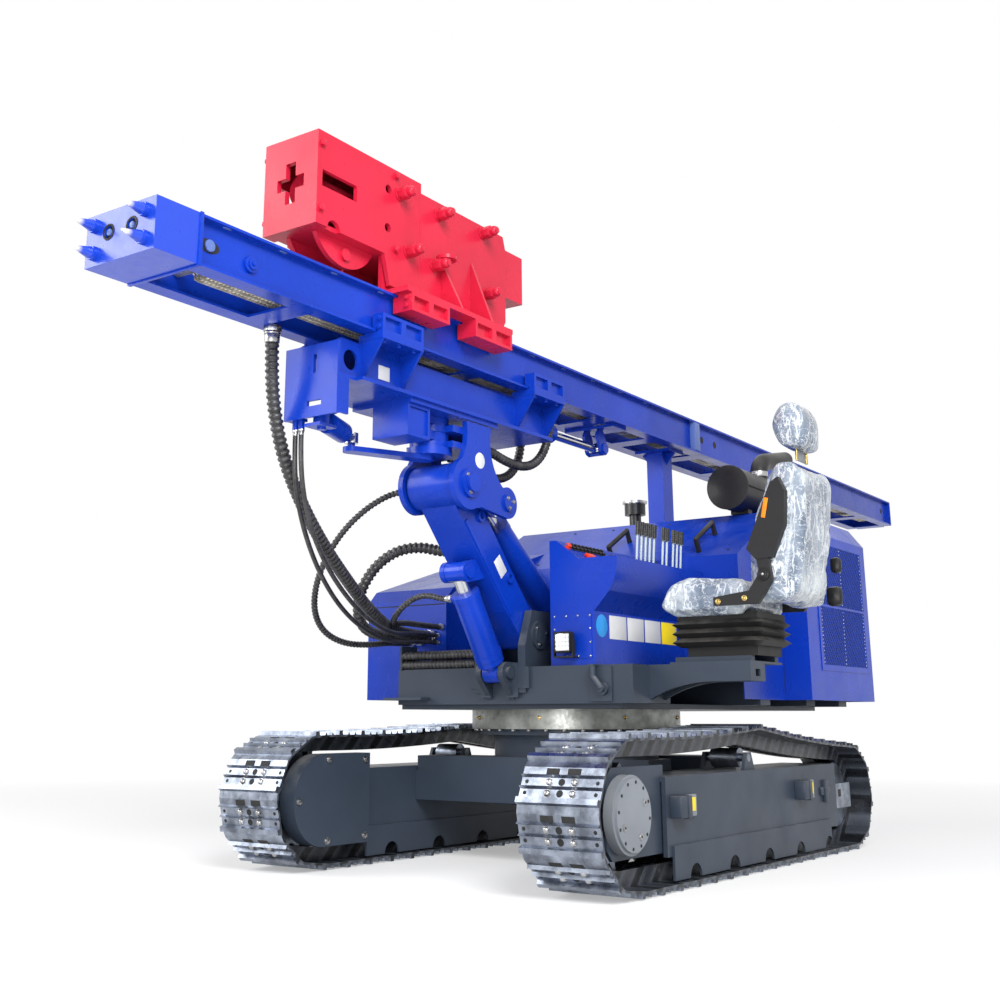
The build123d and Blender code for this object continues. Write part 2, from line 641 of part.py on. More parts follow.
# Bracket for the boom foot, both cylinder feet and the boom's pins
BRACKET_FRONT_X = DECK_FRONT_X + 12
LUG_REAR_X = DECK_FRONT_X + SEAT_GAP / 3
with BuildPart() as boom_bracket:
    outline = ((40, DECK_TOP_Z), (80, BRACKET_TOP_Z - 30), (120, BRACKET_TOP_Z), (600, BRACKET_TOP_Z),
               (BRACKET_FRONT_X, BRACKET_TOP_Z - 160), (BRACKET_FRONT_X, DECK_TOP_Z))
    for sign in (-1, 1):
        plate_y = sign * (BRACKET_INNER_Y + BRACKET_WALL / 2)
        slab(side_plane(plate_y), outline, BRACKET_WALL)
        slab(side_plane(plate_y), ((DECK_FRONT_X, DECK_TOP_Z + 40), (DECK_FRONT_X, 760),
                                   (BRACKET_FRONT_X, 760), (BRACKET_FRONT_X, DECK_TOP_Z + 40)),
             BRACKET_WALL)
        lug_y = sign * (LIFT_LUG_Y + LIFT_LUG_WALL / 2)
        with BuildSketch(side_plane(lug_y)) as lug:
            with Locations(LIFT_FOOT):
                Circle(48)
            with BuildLine():
                Polyline((LUG_REAR_X, 895), (LIFT_FOOT[0], LIFT_FOOT[1] + 48),
                         (LIFT_FOOT[0] + 40, LIFT_FOOT[1] - 28), (LUG_REAR_X, 730), close=True)
            make_face()
        extrude(lug.sketch, amount=LIFT_LUG_WALL / 2, both=True)
        block((LUG_REAR_X, DECK_FRONT_X + 18), (sign * LIFT_LUG_Y, sign * (BRACKET_INNER_Y + 2)),
              (740, 893))
        block((LUG_REAR_X, DECK_FRONT_X + 16), (sign * BRACKET_INNER_Y, sign * (BRACKET_INNER_Y + 60)),
              (780, DECK_TOP_Z))
    for (x, z), radius in ((BOOM_FOOT, BOOM_PIN_R), (TILT_FOOT, TILT_PIN_R)):
        cross_bar(x, z, radius, (-160, 160))
        for sign in (-1, 1):
            outer = BRACKET_INNER_Y + BRACKET_WALL
            cross_bar(x, z, radius + 22, (sign * (outer - 1), sign * (outer + 12)))
    cross_bar(*LIFT_FOOT, LIFT_PIN_R, (-90, 90))
boom_bracket.part.label = "boom_bracket"
export_step(boom_bracket.part, "parts/boom_bracket.step")

# Boom: a box beam with a round barrel at its top and ears for the lift cylinder
BOOM_LENGTH = hypot(BOOM_TOP[0] - BOOM_FOOT[0], BOOM_TOP[1] - BOOM_FOOT[1])


def on_boom(along, out):
    return off_line(BOOM_FOOT, BOOM_TOP, along, out)


EAR_OUTER_Y = LIFT_EAR_Y + LIFT_EAR_WALL
with BuildPart() as boom:
    with BuildSketch(side_plane(0)) as beam:
        with BuildLine():
            Polyline(on_boom(0, 62), on_boom(150, BOOM_HALF_DEPTH), on_boom(BOOM_LENGTH, BOOM_HALF_DEPTH),
                     on_boom(BOOM_LENGTH, -BOOM_HALF_DEPTH), on_boom(200, -BOOM_HALF_DEPTH),
                     on_boom(0, -62), close=True)
        make_face()
        with Locations(BOOM_FOOT):
            Circle(62)
    extrude(beam.sketch, amount=BOOM_HALF_WIDTH, both=True)
    cross_bar(*BOOM_TOP, BARREL_R, (-BARREL_HALF_WIDTH, BARREL_HALF_WIDTH))
    for sign in (-1, 1):
        ear_y = sign * (LIFT_EAR_Y + LIFT_EAR_WALL / 2)
        link_plate(LIFT_EYE, on_boom(430, -60), 46, ear_y, LIFT_EAR_WALL)
        cross_bar(*LIFT_EYE, LIFT_PIN_R + 6, (sign * (EAR_OUTER_Y - 1), sign * (EAR_OUTER_Y + 10)))
        # Long edge strip on the boom's side, and two open hooks that carry the hoses
        with BuildSketch(side_plane(sign * BOOM_HALF_WIDTH)) as strip:
            with BuildLine():
                Polyline(on_boom(170, -72), on_boom(690, -72), on_boom(690, -50), on_boom(170, -50),
                         close=True)
            make_face()
        extrude(strip.sketch, amount=6, both=True)
        for along in (300, 640):
            with BuildSketch(side_plane(sign * BOOM_HALF_WIDTH)) as hook:
                with Locations(on_boom(along, 40)):
                    Circle(26)
                with Locations(on_boom(along, 40)):
                    Circle(14, mode=Mode.SUBTRACT)
            extrude(hook.sketch, amount=12, both=True)
    cross_bar(*BOOM_FOOT, BOOM_PIN_R + RUN_GAP, (-160, 160), Mode.SUBTRACT)
    cross_bar(*BOOM_TOP, BOOM_PIN_R + RUN_GAP, (-160, 160), Mode.SUBTRACT)
boom.part.label = "boom"
export_step(boom.part, "parts/boom.step")


def cylinder(name, foot, eye, barrel_r, rod_r, eye_r, pin_r, half_eye, half_pin, reach, stroke, port):
    """Barrel with a foot eye and rod with a head eye, both on the centre plane."""
    length = hypot(eye[0] - foot[0], eye[1] - foot[1])
    start = between(foot, eye, (eye_r + 12) / length)
    end = between(foot, eye, reach)
    rod_share = reach - (stroke + ROD_GRIP) / length

    def in_space(point, y=0):
        return point[0], y, point[1]

    with BuildPart() as barrel:
        cross_bar(*foot, eye_r, (-half_eye, half_eye))
        round_bar(in_space(foot), in_space(start), eye_r * 0.8)
        round_bar(in_space(start), in_space(end), barrel_r)
        for share in (0.16, reach - 0.05):
            round_bar(in_space(between(foot, eye, share)), in_space(between(foot, eye, share + 0.05)),
                      barrel_r + 3)
        if port:
            round_bar(in_space(port), in_space(port, -barrel_r - 18), 17)
        round_bar(in_space(between(foot, eye, rod_share - 0.03)), in_space(between(foot, eye, reach + 0.02)),
                  rod_r + RUN_GAP, Mode.SUBTRACT)
        cross_bar(*foot, pin_r + RUN_GAP, (-half_eye - 1, half_eye + 1), Mode.SUBTRACT)
    barrel.part.label = f"{name}_barrel"
    export_step(barrel.part, f"parts/{name}_barrel.step")
    with BuildPart() as rod:
        round_bar(in_space(between(foot, eye, rod_share)), in_space(eye), rod_r)
        cross_bar(*eye, eye_r, (-half_eye, half_eye))
        cross_bar(*eye, pin_r, (-half_pin, half_pin))
    rod.part.label = f"{name}_rod"
    export_step(rod.part, f"parts/{name}_rod.step")


LIFT_PORT = between(LIFT_FOOT, LIFT_EYE, 0.7484)
cylinder("lift_cylinder", LIFT_FOOT, LIFT_EYE, LIFT_BARREL_R, LIFT_ROD_R, LIFT_EYE_R, LIFT_PIN_R,
         LIFT_EAR_Y - 2, LIFT_EAR_Y - SEAT_GAP, 0.80, LIFT_STROKE, LIFT_PORT)
cylinder("tilt_cylinder", TILT_FOOT, TILT_EYE, TILT_BARREL_R, TILT_ROD_R, TILT_EYE_R, TILT_PIN_R,
         60, HEAD_INNER_Y - SEAT_GAP, 0.84, TILT_STROKE, None)

# Head: two side plates on the boom barrel, a fork for the swing pin and the arm under it
with BuildPart() as head:
    for sign in (-1, 1):
        plate_y = sign * (HEAD_INNER_Y + HEAD_WALL / 2)
        with BuildSketch(side_plane(plate_y)) as plate:
            with BuildLine():
                neck = Polyline((1131, HEAD_TOP_Z), (942, HEAD_TOP_Z))
                rear = ThreePointArc((942, HEAD_TOP_Z), (908, 1720), (750, 1620))
                under = Polyline((750, 1620), (810, 1526), (1017, 1550), (1110, 1530), (1219, 1690))
                front = ThreePointArc((1219, 1690), (1140, 1790), (1131, HEAD_TOP_Z))
            make_face()
            with Locations(BOOM_TOP):
                Circle(HEAD_BOSS_R)
            with Locations(TILT_EYE):
                Circle(72)
        extrude(plate.sketch, amount=HEAD_WALL / 2, both=True)
        outer = HEAD_INNER_Y + HEAD_WALL
        cross_bar(*BOOM_TOP, 64, (sign * (outer - 1), sign * (outer + 14)))
        cross_bar(*TILT_EYE, 40, (sign * (outer - 1), sign * (outer + 12)))
    for low, high in (FORK_LOW, FORK_HIGH):
        block((960, SWING_X), (-HEAD_INNER_Y - 1, HEAD_INNER_Y + 1), (low, high))
        round_bar((SWING_X, 0, low), (SWING_X, 0, high), FORK_R)
    block((960, 990), (-HEAD_INNER_Y - 1, HEAD_INNER_Y + 1), (FORK_LOW[0], FORK_HIGH[1]))
    round_bar((SWING_X, 0, CAP_LOW_Z), (SWING_X, 0, FORK_LOW[0] + 1), CAP_R)
    round_bar((SWING_X, 0, CAP_LOW_Z), (SWING_X, 0, TRAY_LOW_Z - 22), SWING_PIN_R)
    with BuildSketch(Plane.XY.offset(ARM_LOW_Z)) as arm:
        with Locations((SWING_X + 35, 0)):
            Circle(40)
        with Locations(SWING_EYE):
            Circle(36)
        make_hull()
    extrude(arm.sketch, amount=CAP_LOW_Z - ARM_LOW_Z)
    round_bar((*SWING_EYE, CAP_LOW_Z - 1), (*SWING_EYE, SWING_CYLINDER_Z - SWING_EYE_HALF - SEAT_GAP), 16)
    cross_bar(*BOOM_TOP, BOOM_PIN_R, (-185, 185))
head.part.label = "head"
export_step(head.part, "parts/head.step")

# Side-swing cylinder, flat under the cradle
def on_swing(share):
    return (*between(SWING_FOOT, SWING_EYE, share), SWING_CYLINDER_Z)


EYE_LOW = SWING_CYLINDER_Z - SWING_EYE_HALF
EYE_HIGH = SWING_CYLINDER_Z + SWING_EYE_HALF
with BuildPart() as swing_barrel:
    round_bar((*SWING_FOOT, EYE_LOW), (*SWING_FOOT, EYE_HIGH), 34)
    round_bar(on_swing(0), on_swing(0.2), 21)
    round_bar(on_swing(0.17), on_swing(0.68), SWING_BARREL_R)
    round_bar(on_swing(0.24), on_swing(0.7), SWING_ROD_R + RUN_GAP, Mode.SUBTRACT)
    round_bar((*SWING_FOOT, EYE_LOW - 1), (*SWING_FOOT, EYE_HIGH + 1), SWING_PIN + RUN_GAP, Mode.SUBTRACT)
swing_barrel.part.label = "swing_cylinder_barrel"
export_step(swing_barrel.part, "parts/swing_cylinder_barrel.step")

with BuildPart() as swing_rod:
    round_bar(on_swing(0.37), on_swing(1), SWING_ROD_R)
    round_bar((*SWING_EYE, EYE_LOW), (*SWING_EYE, EYE_HIGH), 30)
swing_rod.part.label = "swing_cylinder_rod"
export_step(swing_rod.part, "parts/swing_cylinder_rod.step")


def windows(span, outer, depth, zs):
    """Two square pockets in the outer face of a guide block."""
    third = (span[1] - span[0]) / 2
    for number in (0, 1):
        middle = span[0] + third * (number + 0.5)
        block((middle - third / 2 + 16, middle + third / 2 - 16), (outer, outer - depth),
              (zs[0] + 14, zs[1] - 14), Mode.SUBTRACT)


# Cradle: a tray with guide blocks, on a knuckle that turns in the head's fork
TRAY_TOP_Z = TRAY_LOW_Z + TRAY_WALL
KNUCKLE_LOW_Z = TRAY_LOW_Z - 20
LUG_LOW = (FORK_LOW[1] + KNUCKLE_GAP, FORK_HIGH[0] - KNUCKLE_GAP)
LUG_HIGH = (FORK_HIGH[1] + KNUCKLE_GAP, KNUCKLE_LOW_Z + 1)
PAD_Z = MAST_LOW_Z - SEAT_GAP
with BuildPart() as cradle:
    block((CRADLE_REAR_X + 50, TRAY_FRONT_X), (-TRAY_HALF_WIDTH, TRAY_HALF_WIDTH), (TRAY_LOW_Z, TRAY_TOP_Z))
    block((TRAY_FRONT_X - 20, CRADLE_FRONT_X - 14), (-FRONT_PLATE_HALF, FRONT_PLATE_HALF),
          (TRAY_LOW_Z, TRAY_TOP_Z))
    block(KNUCKLE_PLATE, (-TRAY_HALF_WIDTH + 15, TRAY_HALF_WIDTH - 15), (KNUCKLE_LOW_Z, TRAY_LOW_Z + 1))
    for sign in (-1, 1):
        inner, outer = sign * (CRADLE_SIDE_Y - CRADLE_WALL), sign * CRADLE_SIDE_Y
        slab(side_plane((inner + outer) / 2),
             ((CRADLE_REAR_X, CRADLE_TOP_Z), (CRADLE_REAR_X, TRAY_TOP_Z + 60),
              (CRADLE_REAR_X + 50, TRAY_LOW_Z), (CRADLE_FRONT_X - 14, TRAY_LOW_Z),
              (CRADLE_FRONT_X - 14, FRONT_PLATE_TOP_Z), (CRADLE_FRONT_X - 60, CRADLE_TOP_Z)), CRADLE_WALL)
        block((CRADLE_FRONT_X - 70, CRADLE_FRONT_X - 14),
              (sign * (FRONT_PLATE_HALF - 12), sign * FRONT_PLATE_HALF),
              (FRONT_PLATE_LOW_Z + 5, TRAY_LOW_Z + 1))
        for low_x, high_x in GUIDE_SPANS:
            block((low_x, high_x), (inner, outer), (CRADLE_TOP_Z - 1, SHELF_LOW_Z + 1))
            block((low_x, high_x), (sign * (CRADLE_SIDE_Y - CRADLE_WALL), sign * (GUIDE_Y + GUIDE_WALL)),
                  (SHELF_LOW_Z, SHELF_TOP_Z))
            block((low_x, high_x), (sign * 120, sign * GUIDE_Y), (SHELF_TOP_Z - 1, PAD_Z))
            block((low_x, high_x), (sign * GUIDE_Y, sign * (GUIDE_Y + GUIDE_WALL)),
                  (SHELF_TOP_Z - 1, GUIDE_TOP_Z))
            block((low_x, high_x), (sign * (GUIDE_Y - GUIDE_LIP), sign * (GUIDE_Y + GUIDE_WALL)),
                  (MAST_LOW_Z + FLANGE_WALL + SEAT_GAP, GUIDE_TOP_Z))
            windows((low_x, high_x), sign * (GUIDE_Y + GUIDE_WALL + 1), sign * 18,
                    (SHELF_TOP_Z, GUIDE_TOP_Z))
            for x in (low_x + 8, high_x - 8):
                slab(cross_plane(x), ((sign * (CRADLE_SIDE_Y - 1), TRAY_TOP_Z),
                                      (sign * (CRADLE_SIDE_Y - 1), SHELF_LOW_Z + 1),
                                      (sign * (GUIDE_Y + GUIDE_WALL), SHELF_LOW_Z + 1)), 12)
        cross_bar(1850, 2040, 42, (inner - sign, outer + sign), Mode.SUBTRACT)
    block((CRADLE_FRONT_X - 15, CRADLE_FRONT_X), (-FRONT_PLATE_HALF, FRONT_PLATE_HALF),
          (FRONT_PLATE_LOW_Z, FRONT_PLATE_TOP_Z))
    for (y, z), (wide, high) in (((20, 2011), (18, 76)), ((20, 1850), (76, 22))):
        block((CRADLE_FRONT_X - 16, CRADLE_FRONT_X + 1), (y - wide / 2, y + wide / 2),
              (z - high / 2, z + high / 2), Mode.SUBTRACT)
    # Cell box and the knuckle's two lugs
    block(CELL_SPAN, (-45, 146), (1787, KNUCKLE_LOW_Z + 1))
    block((CELL_SPAN[0] + 14, CELL_SPAN[1] - 14), (136, 147), (1801, KNUCKLE_LOW_Z - 14), Mode.SUBTRACT)
    for low, high in (LUG_LOW, LUG_HIGH):
        round_bar((SWING_X, 0, low), (SWING_X, 0, high), FORK_R - 3)
        block((SWING_X, CELL_SPAN[0] + 1), (-44, 70), (low, high))
    block((SWING_X + FORK_R + 6, CELL_SPAN[0] + 1), (-44, 60), (LUG_LOW[0], LUG_HIGH[1]))
    # Clevis of the side-swing cylinder, behind the front plate
    for low in (EYE_LOW - 14, EYE_HIGH + 2):
        block((SWING_FOOT[0] - 42, CRADLE_FRONT_X - 14), (-42, 42), (low, low + 12))
    round_bar((*SWING_FOOT, EYE_LOW - 22), (*SWING_FOOT, EYE_HIGH + 14), SWING_PIN)
    # Strip that holds the ends of the two thin hoses
    block((CRADLE_FRONT_X - 60, CRADLE_FRONT_X - 14), (-FRONT_PLATE_HALF + 5, -66), (1795, 1807))
    for y in (-112, -80):
        round_bar((1930, y, 1765), (1930, y, 1796), 13)
    round_bar((SWING_X, 0, LUG_LOW[0] - 1), (SWING_X, 0, TRAY_LOW_Z - 21), SWING_PIN_R + RUN_GAP,
              Mode.SUBTRACT)
cradle.part.label = "cradle"
export_step(cradle.part, "parts/cradle.step")

# Slide cylinder: its barrel stays in the cradle, its rod moves with the mast
with BuildPart() as slide_barrel:
    round_bar((SLIDE_BARREL[0], 0, SLIDE_CYLINDER_Z), (SLIDE_BARREL[1], 0, SLIDE_CYLINDER_Z), SLIDE_BARREL_R)
    round_bar((SLIDE_BARREL[0], 0, SLIDE_CYLINDER_Z), (SLIDE_BARREL[0] + 50, 0, SLIDE_CYLINDER_Z),
              SLIDE_BARREL_R + 4)
    for x in (SLIDE_BARREL[0] + 360, SLIDE_BARREL[1] - 80):
        block((x - 20, x + 20), (-60, 60), (TRAY_TOP_Z + SEAT_GAP, SLIDE_CYLINDER_Z - 20))
    round_bar((SLIDE_BARREL[0] - 1, 0, SLIDE_CYLINDER_Z), (SLIDE_BARREL[1] - 40, 0, SLIDE_CYLINDER_Z),
              SLIDE_ROD_R + RUN_GAP, Mode.SUBTRACT)
slide_barrel.part.label = "slide_cylinder_barrel"
export_step(slide_barrel.part, "parts/slide_cylinder_barrel.step")

with BuildPart() as slide_rod:
    round_bar((CLEVIS_X, 0, SLIDE_CYLINDER_Z), (SLIDE_BARREL[1] - 660, 0, SLIDE_CYLINDER_Z), SLIDE_ROD_R)
    cross_bar(CLEVIS_X, SLIDE_CYLINDER_Z, 36, (-28, 28))
    cross_bar(CLEVIS_X, SLIDE_CYLINDER_Z, CLEVIS_PIN_R + RUN_GAP, (-29, 29), Mode.SUBTRACT)
slide_rod.part.label = "slide_cylinder_rod"
export_step(slide_rod.part, "parts/slide_cylinder_rod.step")

# Clevis bolted under the mast, where the slide cylinder pulls it
with BuildPart() as slide_clevis:
    block((CLEVIS_X - 60, CLEVIS_X + 80), (-MAST_HALF_WIDTH + 30, MAST_HALF_WIDTH - 30),
          (MAST_LOW_Z - 15, MAST_LOW_Z - SEAT_GAP))
    for sign in (-1, 1):
        link_plate((CLEVIS_X, SLIDE_CYLINDER_Z), (CLEVIS_X + 30, MAST_LOW_Z - 48), 36, sign * 40, 18)
        cross_bar(CLEVIS_X, SLIDE_CYLINDER_Z, 28, (sign * 48, sign * 58))
    cross_bar(CLEVIS_X, SLIDE_CYLINDER_Z, CLEVIS_PIN_R, (-50, 50))
slide_clevis.part.label = "slide_clevis"
export_step(slide_clevis.part, "parts/slide_clevis.step")

# Mast: two beams joined below by cross strips
BEAM_FRONT_X = MAST_FRONT_X - FOOT_LENGTH
STRIP_COUNT = int((BEAM_FRONT_X - MAST_REAR_X) / STRIP_PITCH)
with BuildPart() as mast:
    for sign in (-1, 1):
        outer = sign * MAST_HALF_WIDTH
        inner = sign * (MAST_HALF_WIDTH - FLANGE_WIDTH)
        web = sign * (MAST_HALF_WIDTH - FLANGE_WIDTH / 2)
        for low in (MAST_LOW_Z, MAST_TOP_Z - FLANGE_WALL):
            block((MAST_REAR_X, BEAM_FRONT_X), (outer, inner), (low, low + FLANGE_WALL))
        block((MAST_REAR_X, BEAM_FRONT_X), (web - WEB_WALL / 2, web + WEB_WALL / 2),
              (MAST_LOW_Z, MAST_TOP_Z))
        with BuildSketch(side_plane(web)) as slot:
            with Locations((BEAM_FRONT_X - 67, MAST_LOW_Z + 95)):
                SlotOverall(65, 26)
        extrude(slot.sketch, amount=WEB_WALL, both=True, mode=Mode.SUBTRACT)
        cross_bar(BEAM_FRONT_X - 267, MAST_LOW_Z + 85, 20, (web, web + sign * 26))
    for number in range(STRIP_COUNT):
        x = BEAM_FRONT_X - STRIP_PITCH * (number + 1)
        block((x - STRIP_WIDTH / 2, x + STRIP_WIDTH / 2),
              (-MAST_HALF_WIDTH + FLANGE_WIDTH - 1, MAST_HALF_WIDTH - FLANGE_WIDTH + 1),
              (MAST_LOW_Z, MAST_LOW_Z + FLANGE_WALL))
    block((MAST_REAR_X, MAST_REAR_X + 15), (-MAST_HALF_WIDTH, MAST_HALF_WIDTH), (MAST_LOW_Z, MAST_TOP_Z))
mast.part.label = "mast"
export_step(mast.part, "parts/mast.step")

BORE_Z = MAST_LOW_Z + 110
with BuildPart() as mast_foot:
    block((BEAM_FRONT_X, MAST_FRONT_X), (-MAST_HALF_WIDTH, MAST_HALF_WIDTH), (MAST_LOW_Z, MAST_TOP_Z))
    block((BEAM_FRONT_X - 1, MAST_FRONT_X - FOOT_PLATE), (-MAST_HALF_WIDTH + 12, MAST_HALF_WIDTH - 12),
          (MAST_LOW_Z + 12, MAST_TOP_Z - 12), Mode.SUBTRACT)
    for y in (-130, 130):
        for z in (MAST_LOW_Z + 45, MAST_TOP_Z - 45):
            round_bar((MAST_FRONT_X - 1, y, z), (MAST_FRONT_X + 22, y, z), SPIKE_R + 4)
            with BuildSketch(cross_plane(MAST_FRONT_X + 21)) as base:
                with Locations((y, z)):
                    Circle(SPIKE_R)
            extrude(base.sketch, amount=SPIKE_LENGTH - 21, taper=14)
    for y in (-FOOT_BORE_Y, FOOT_BORE_Y):
        round_bar((MAST_FRONT_X - 30, y, BORE_Z), (MAST_FRONT_X + 1, y, BORE_Z), FOOT_BORE_R, Mode.SUBTRACT)
mast_foot.part.label = "mast_foot"
export_step(mast_foot.part, "parts/mast_foot.step")

# Feed chain: two rows of plates on bars, on a wheel at each end of the mast
WHEEL_ENDS = (MAST_FRONT_X - 375, MAST_REAR_X + 130)
WHEEL_Z = (MAST_LOW_Z + MAST_TOP_Z) / 2
WHEEL_AXLE = MAST_HALF_WIDTH - (FLANGE_WIDTH + WEB_WALL) / 2 - SEAT_GAP
with BuildPart() as feed_chain:
    for x in WHEEL_ENDS:
        cross_bar(x, WHEEL_Z, CHAIN_WHEEL_R, (-CHAIN_HALF_WIDTH, CHAIN_HALF_WIDTH))
        cross_bar(x, WHEEL_Z, 24, (-WHEEL_AXLE, WHEEL_AXLE))
    for z in (WHEEL_Z - CHAIN_WHEEL_R, WHEEL_Z + CHAIN_WHEEL_R - CHAIN_THICKNESS):
        block((WHEEL_ENDS[1], WHEEL_ENDS[0]), (-CHAIN_HALF_WIDTH, CHAIN_HALF_WIDTH),
              (z, z + CHAIN_THICKNESS))
feed_chain.part.label = "feed_chain"
export_step(feed_chain.part, "parts/feed_chain.step")

# Carriage that holds the hammer and grips the mast's top flanges
PLATE_LOW = MAST_TOP_Z + SEAT_GAP
PLATE_TOP_OF_CARRIAGE = PLATE_LOW + CARRIAGE_PLATE
GUIDE_LOW = MAST_TOP_Z - CARRIAGE_DROP
with BuildPart() as hammer_carriage:
    block((CARRIAGE_REAR_X, CARRIAGE_FRONT_X), (-CARRIAGE_HALF_WIDTH, CARRIAGE_HALF_WIDTH),
          (PLATE_LOW, PLATE_TOP_OF_CARRIAGE))
    for sign in (-1, 1):
        for low_x, high_x in CARRIAGE_SPANS:
            block((low_x, high_x), (sign * GUIDE_Y, sign * CARRIAGE_HALF_WIDTH), (GUIDE_LOW, PLATE_LOW + 1))
            block((low_x, high_x), (sign * (GUIDE_Y - GUIDE_LIP), sign * CARRIAGE_HALF_WIDTH),
                  (GUIDE_LOW, MAST_TOP_Z - FLANGE_WALL - SEAT_GAP))
            windows((low_x, high_x), sign * (CARRIAGE_HALF_WIDTH + 1), sign * 22, (GUIDE_LOW, PLATE_LOW))
        for x, height in GUSSETS:
            slab(cross_plane(x), ((sign * CARRIAGE_HALF_WIDTH, PLATE_TOP_OF_CARRIAGE - 1),
                                  (sign * (HAMMER_HALF_WIDTH + 1), PLATE_TOP_OF_CARRIAGE - 1),
                                  (sign * (HAMMER_HALF_WIDTH + 1), height)), 16)
        block((NOSE_REAR_X + 20, CARRIAGE_FRONT_X - 3), (sign * 98, sign * 118),
              (PLATE_TOP_OF_CARRIAGE - 1, HAMMER_LOW_Z - SEAT_GAP))
    block((CARRIAGE_REAR_X + 20, NOSE_REAR_X + 25), (-118, 118),
          (PLATE_TOP_OF_CARRIAGE - 1, PLATE_TOP_OF_CARRIAGE + 26))
    # Lifting eye on the left gusset, lying flat
    eye_z = GUSSETS[0][1] - 5
    with BuildSketch(Plane.XY.offset(eye_z)) as ring:
        with Locations((GUSSETS[0][0] + 32, HAMMER_HALF_WIDTH + 48)):
            Circle(46)
            Circle(26, mode=Mode.SUBTRACT)
        with Locations((GUSSETS[0][0] + 4, HAMMER_HALF_WIDTH + 20)):
            Rectangle(24, 36)
    extrude(ring.sketch, amount=8, both=True)
hammer_carriage.part.label = "hammer_carriage"
export_step(hammer_carriage.part, "parts/hammer_carriage.step")

# Hammer: a tall nose box, two rear side plates and the breaker's core between them
REAR_LOW_Z = PLATE_TOP_OF_CARRIAGE + 26 + SEAT_GAP
REAR_TOP_Z = HAMMER_TOP_Z - 45
# Studs right through, x from the front and z from the middle height
STUDS = ((515, 96), (790, 94), (1131, 117), (576, -146), (760, -154), (1153, -176))
with BuildPart() as hammer:
    block((NOSE_REAR_X, HAMMER_FRONT_X), (-HAMMER_HALF_WIDTH, HAMMER_HALF_WIDTH),
          (HAMMER_LOW_Z, HAMMER_TOP_Z))
    block((NOSE_REAR_X + 30, HAMMER_FRONT_X - 25),
          (-HAMMER_HALF_WIDTH + HAMMER_WALL, HAMMER_HALF_WIDTH - HAMMER_WALL),
          (HAMMER_LOW_Z + HAMMER_WALL, HAMMER_TOP_Z - HAMMER_WALL), Mode.SUBTRACT)
    for sign in (-1, 1):
        outer, inner = sign * HAMMER_HALF_WIDTH, sign * (HAMMER_HALF_WIDTH - HAMMER_WALL)
        slab(side_plane((outer + inner) / 2),
             ((NOSE_REAR_X + 1, REAR_TOP_Z), (HAMMER_REAR_X + 20, REAR_TOP_Z),
              (HAMMER_REAR_X, REAR_TOP_Z - 60), (HAMMER_REAR_X, REAR_LOW_Z + 60),
              (HAMMER_REAR_X + 40, REAR_LOW_Z), (NOSE_REAR_X + 200, REAR_LOW_Z),
              (NOSE_REAR_X + 240, HAMMER_LOW_Z + 1), (NOSE_REAR_X + 1, HAMMER_LOW_Z + 1)), HAMMER_WALL)
        block((HAMMER_FRONT_X - 240, HAMMER_FRONT_X - 30), (outer + sign, inner - sign),
              (HAMMER_MID_Z - 35, HAMMER_MID_Z + 35), Mode.SUBTRACT)
        for z in (HAMMER_MID_Z + 95, HAMMER_MID_Z - 80):
            cross_bar(HAMMER_FRONT_X - 440, z, 20, (outer + sign, inner - sign), Mode.SUBTRACT)
        cross_bar(HAMMER_FRONT_X - 105, HAMMER_LOW_Z, 38, (outer + sign, inner - sign), Mode.SUBTRACT)
        # Curved hanger under the nose
        with BuildSketch(side_plane(sign * 72)) as hanger:
            with BuildLine():
                flat = Line((HAMMER_FRONT_X - 70, HAMMER_LOW_Z + 1),
                            (HAMMER_FRONT_X - 415, HAMMER_LOW_Z + 1))
                belly = ThreePointArc((HAMMER_FRONT_X - 415, HAMMER_LOW_Z + 1),
                                      (HAMMER_FRONT_X - 250, HAMMER_LOW_Z - 105),
                                      (HAMMER_FRONT_X - 70, HAMMER_LOW_Z + 1))
            make_face()
        extrude(hanger.sketch, amount=11, both=True)
        cross_bar(HAMMER_FRONT_X - 240, HAMMER_LOW_Z - 52, 26, (sign * 60, sign * 96))
    for wide, high in ((CROSS_REACH - 15, CROSS_HALF_BAR), (CROSS_HALF_BAR, CROSS_REACH)):
        block((HAMMER_FRONT_X - 26, HAMMER_FRONT_X + 1), (-wide, wide),
              (HAMMER_MID_Z - high, HAMMER_MID_Z + high), Mode.SUBTRACT)
    block((HAMMER_REAR_X - CORE_TAIL, NOSE_REAR_X + 1), (-CORE_HALF_WIDTH, CORE_HALF_WIDTH),
          (HAMMER_MID_Z - CORE_HALF_HEIGHT, HAMMER_MID_Z + CORE_HALF_HEIGHT))
    round_bar((NOSE_REAR_X + 29, 0, HAMMER_MID_Z), (HAMMER_FRONT_X - 70, 0, HAMMER_MID_Z), 72)
    for back, rise in STUDS:
        cross_bar(HAMMER_FRONT_X - back, HAMMER_MID_Z + rise, STUD_R,
                  (-HAMMER_HALF_WIDTH - STUD_REACH, HAMMER_HALF_WIDTH + STUD_REACH))
hammer.part.label = "hammer"
export_step(hammer.part, "parts/hammer.step")

# Post that the mast lies on for transport
REST_PLATE_LOW = MAST_LOW_Z - SEAT_GAP - 15
with BuildPart() as mast_rest:
    block((REST_X - 60, REST_X + 60), (-50, 50), (HOOD_ROOF_Z + SEAT_GAP, REST_PLATE_LOW))
    block((REST_X - 90, REST_X + 90), (-110, 110), (REST_PLATE_LOW, MAST_LOW_Z - SEAT_GAP))
    for sign in (-1, 1):
        slab(cross_plane(REST_X), ((sign * 49, REST_PLATE_LOW + 1), (sign * 105, REST_PLATE_LOW + 1),
                                   (sign * 49, REST_PLATE_LOW - 70)), 12)
mast_rest.part.label = "mast_rest"
export_step(mast_rest.part, "parts/mast_rest.step")

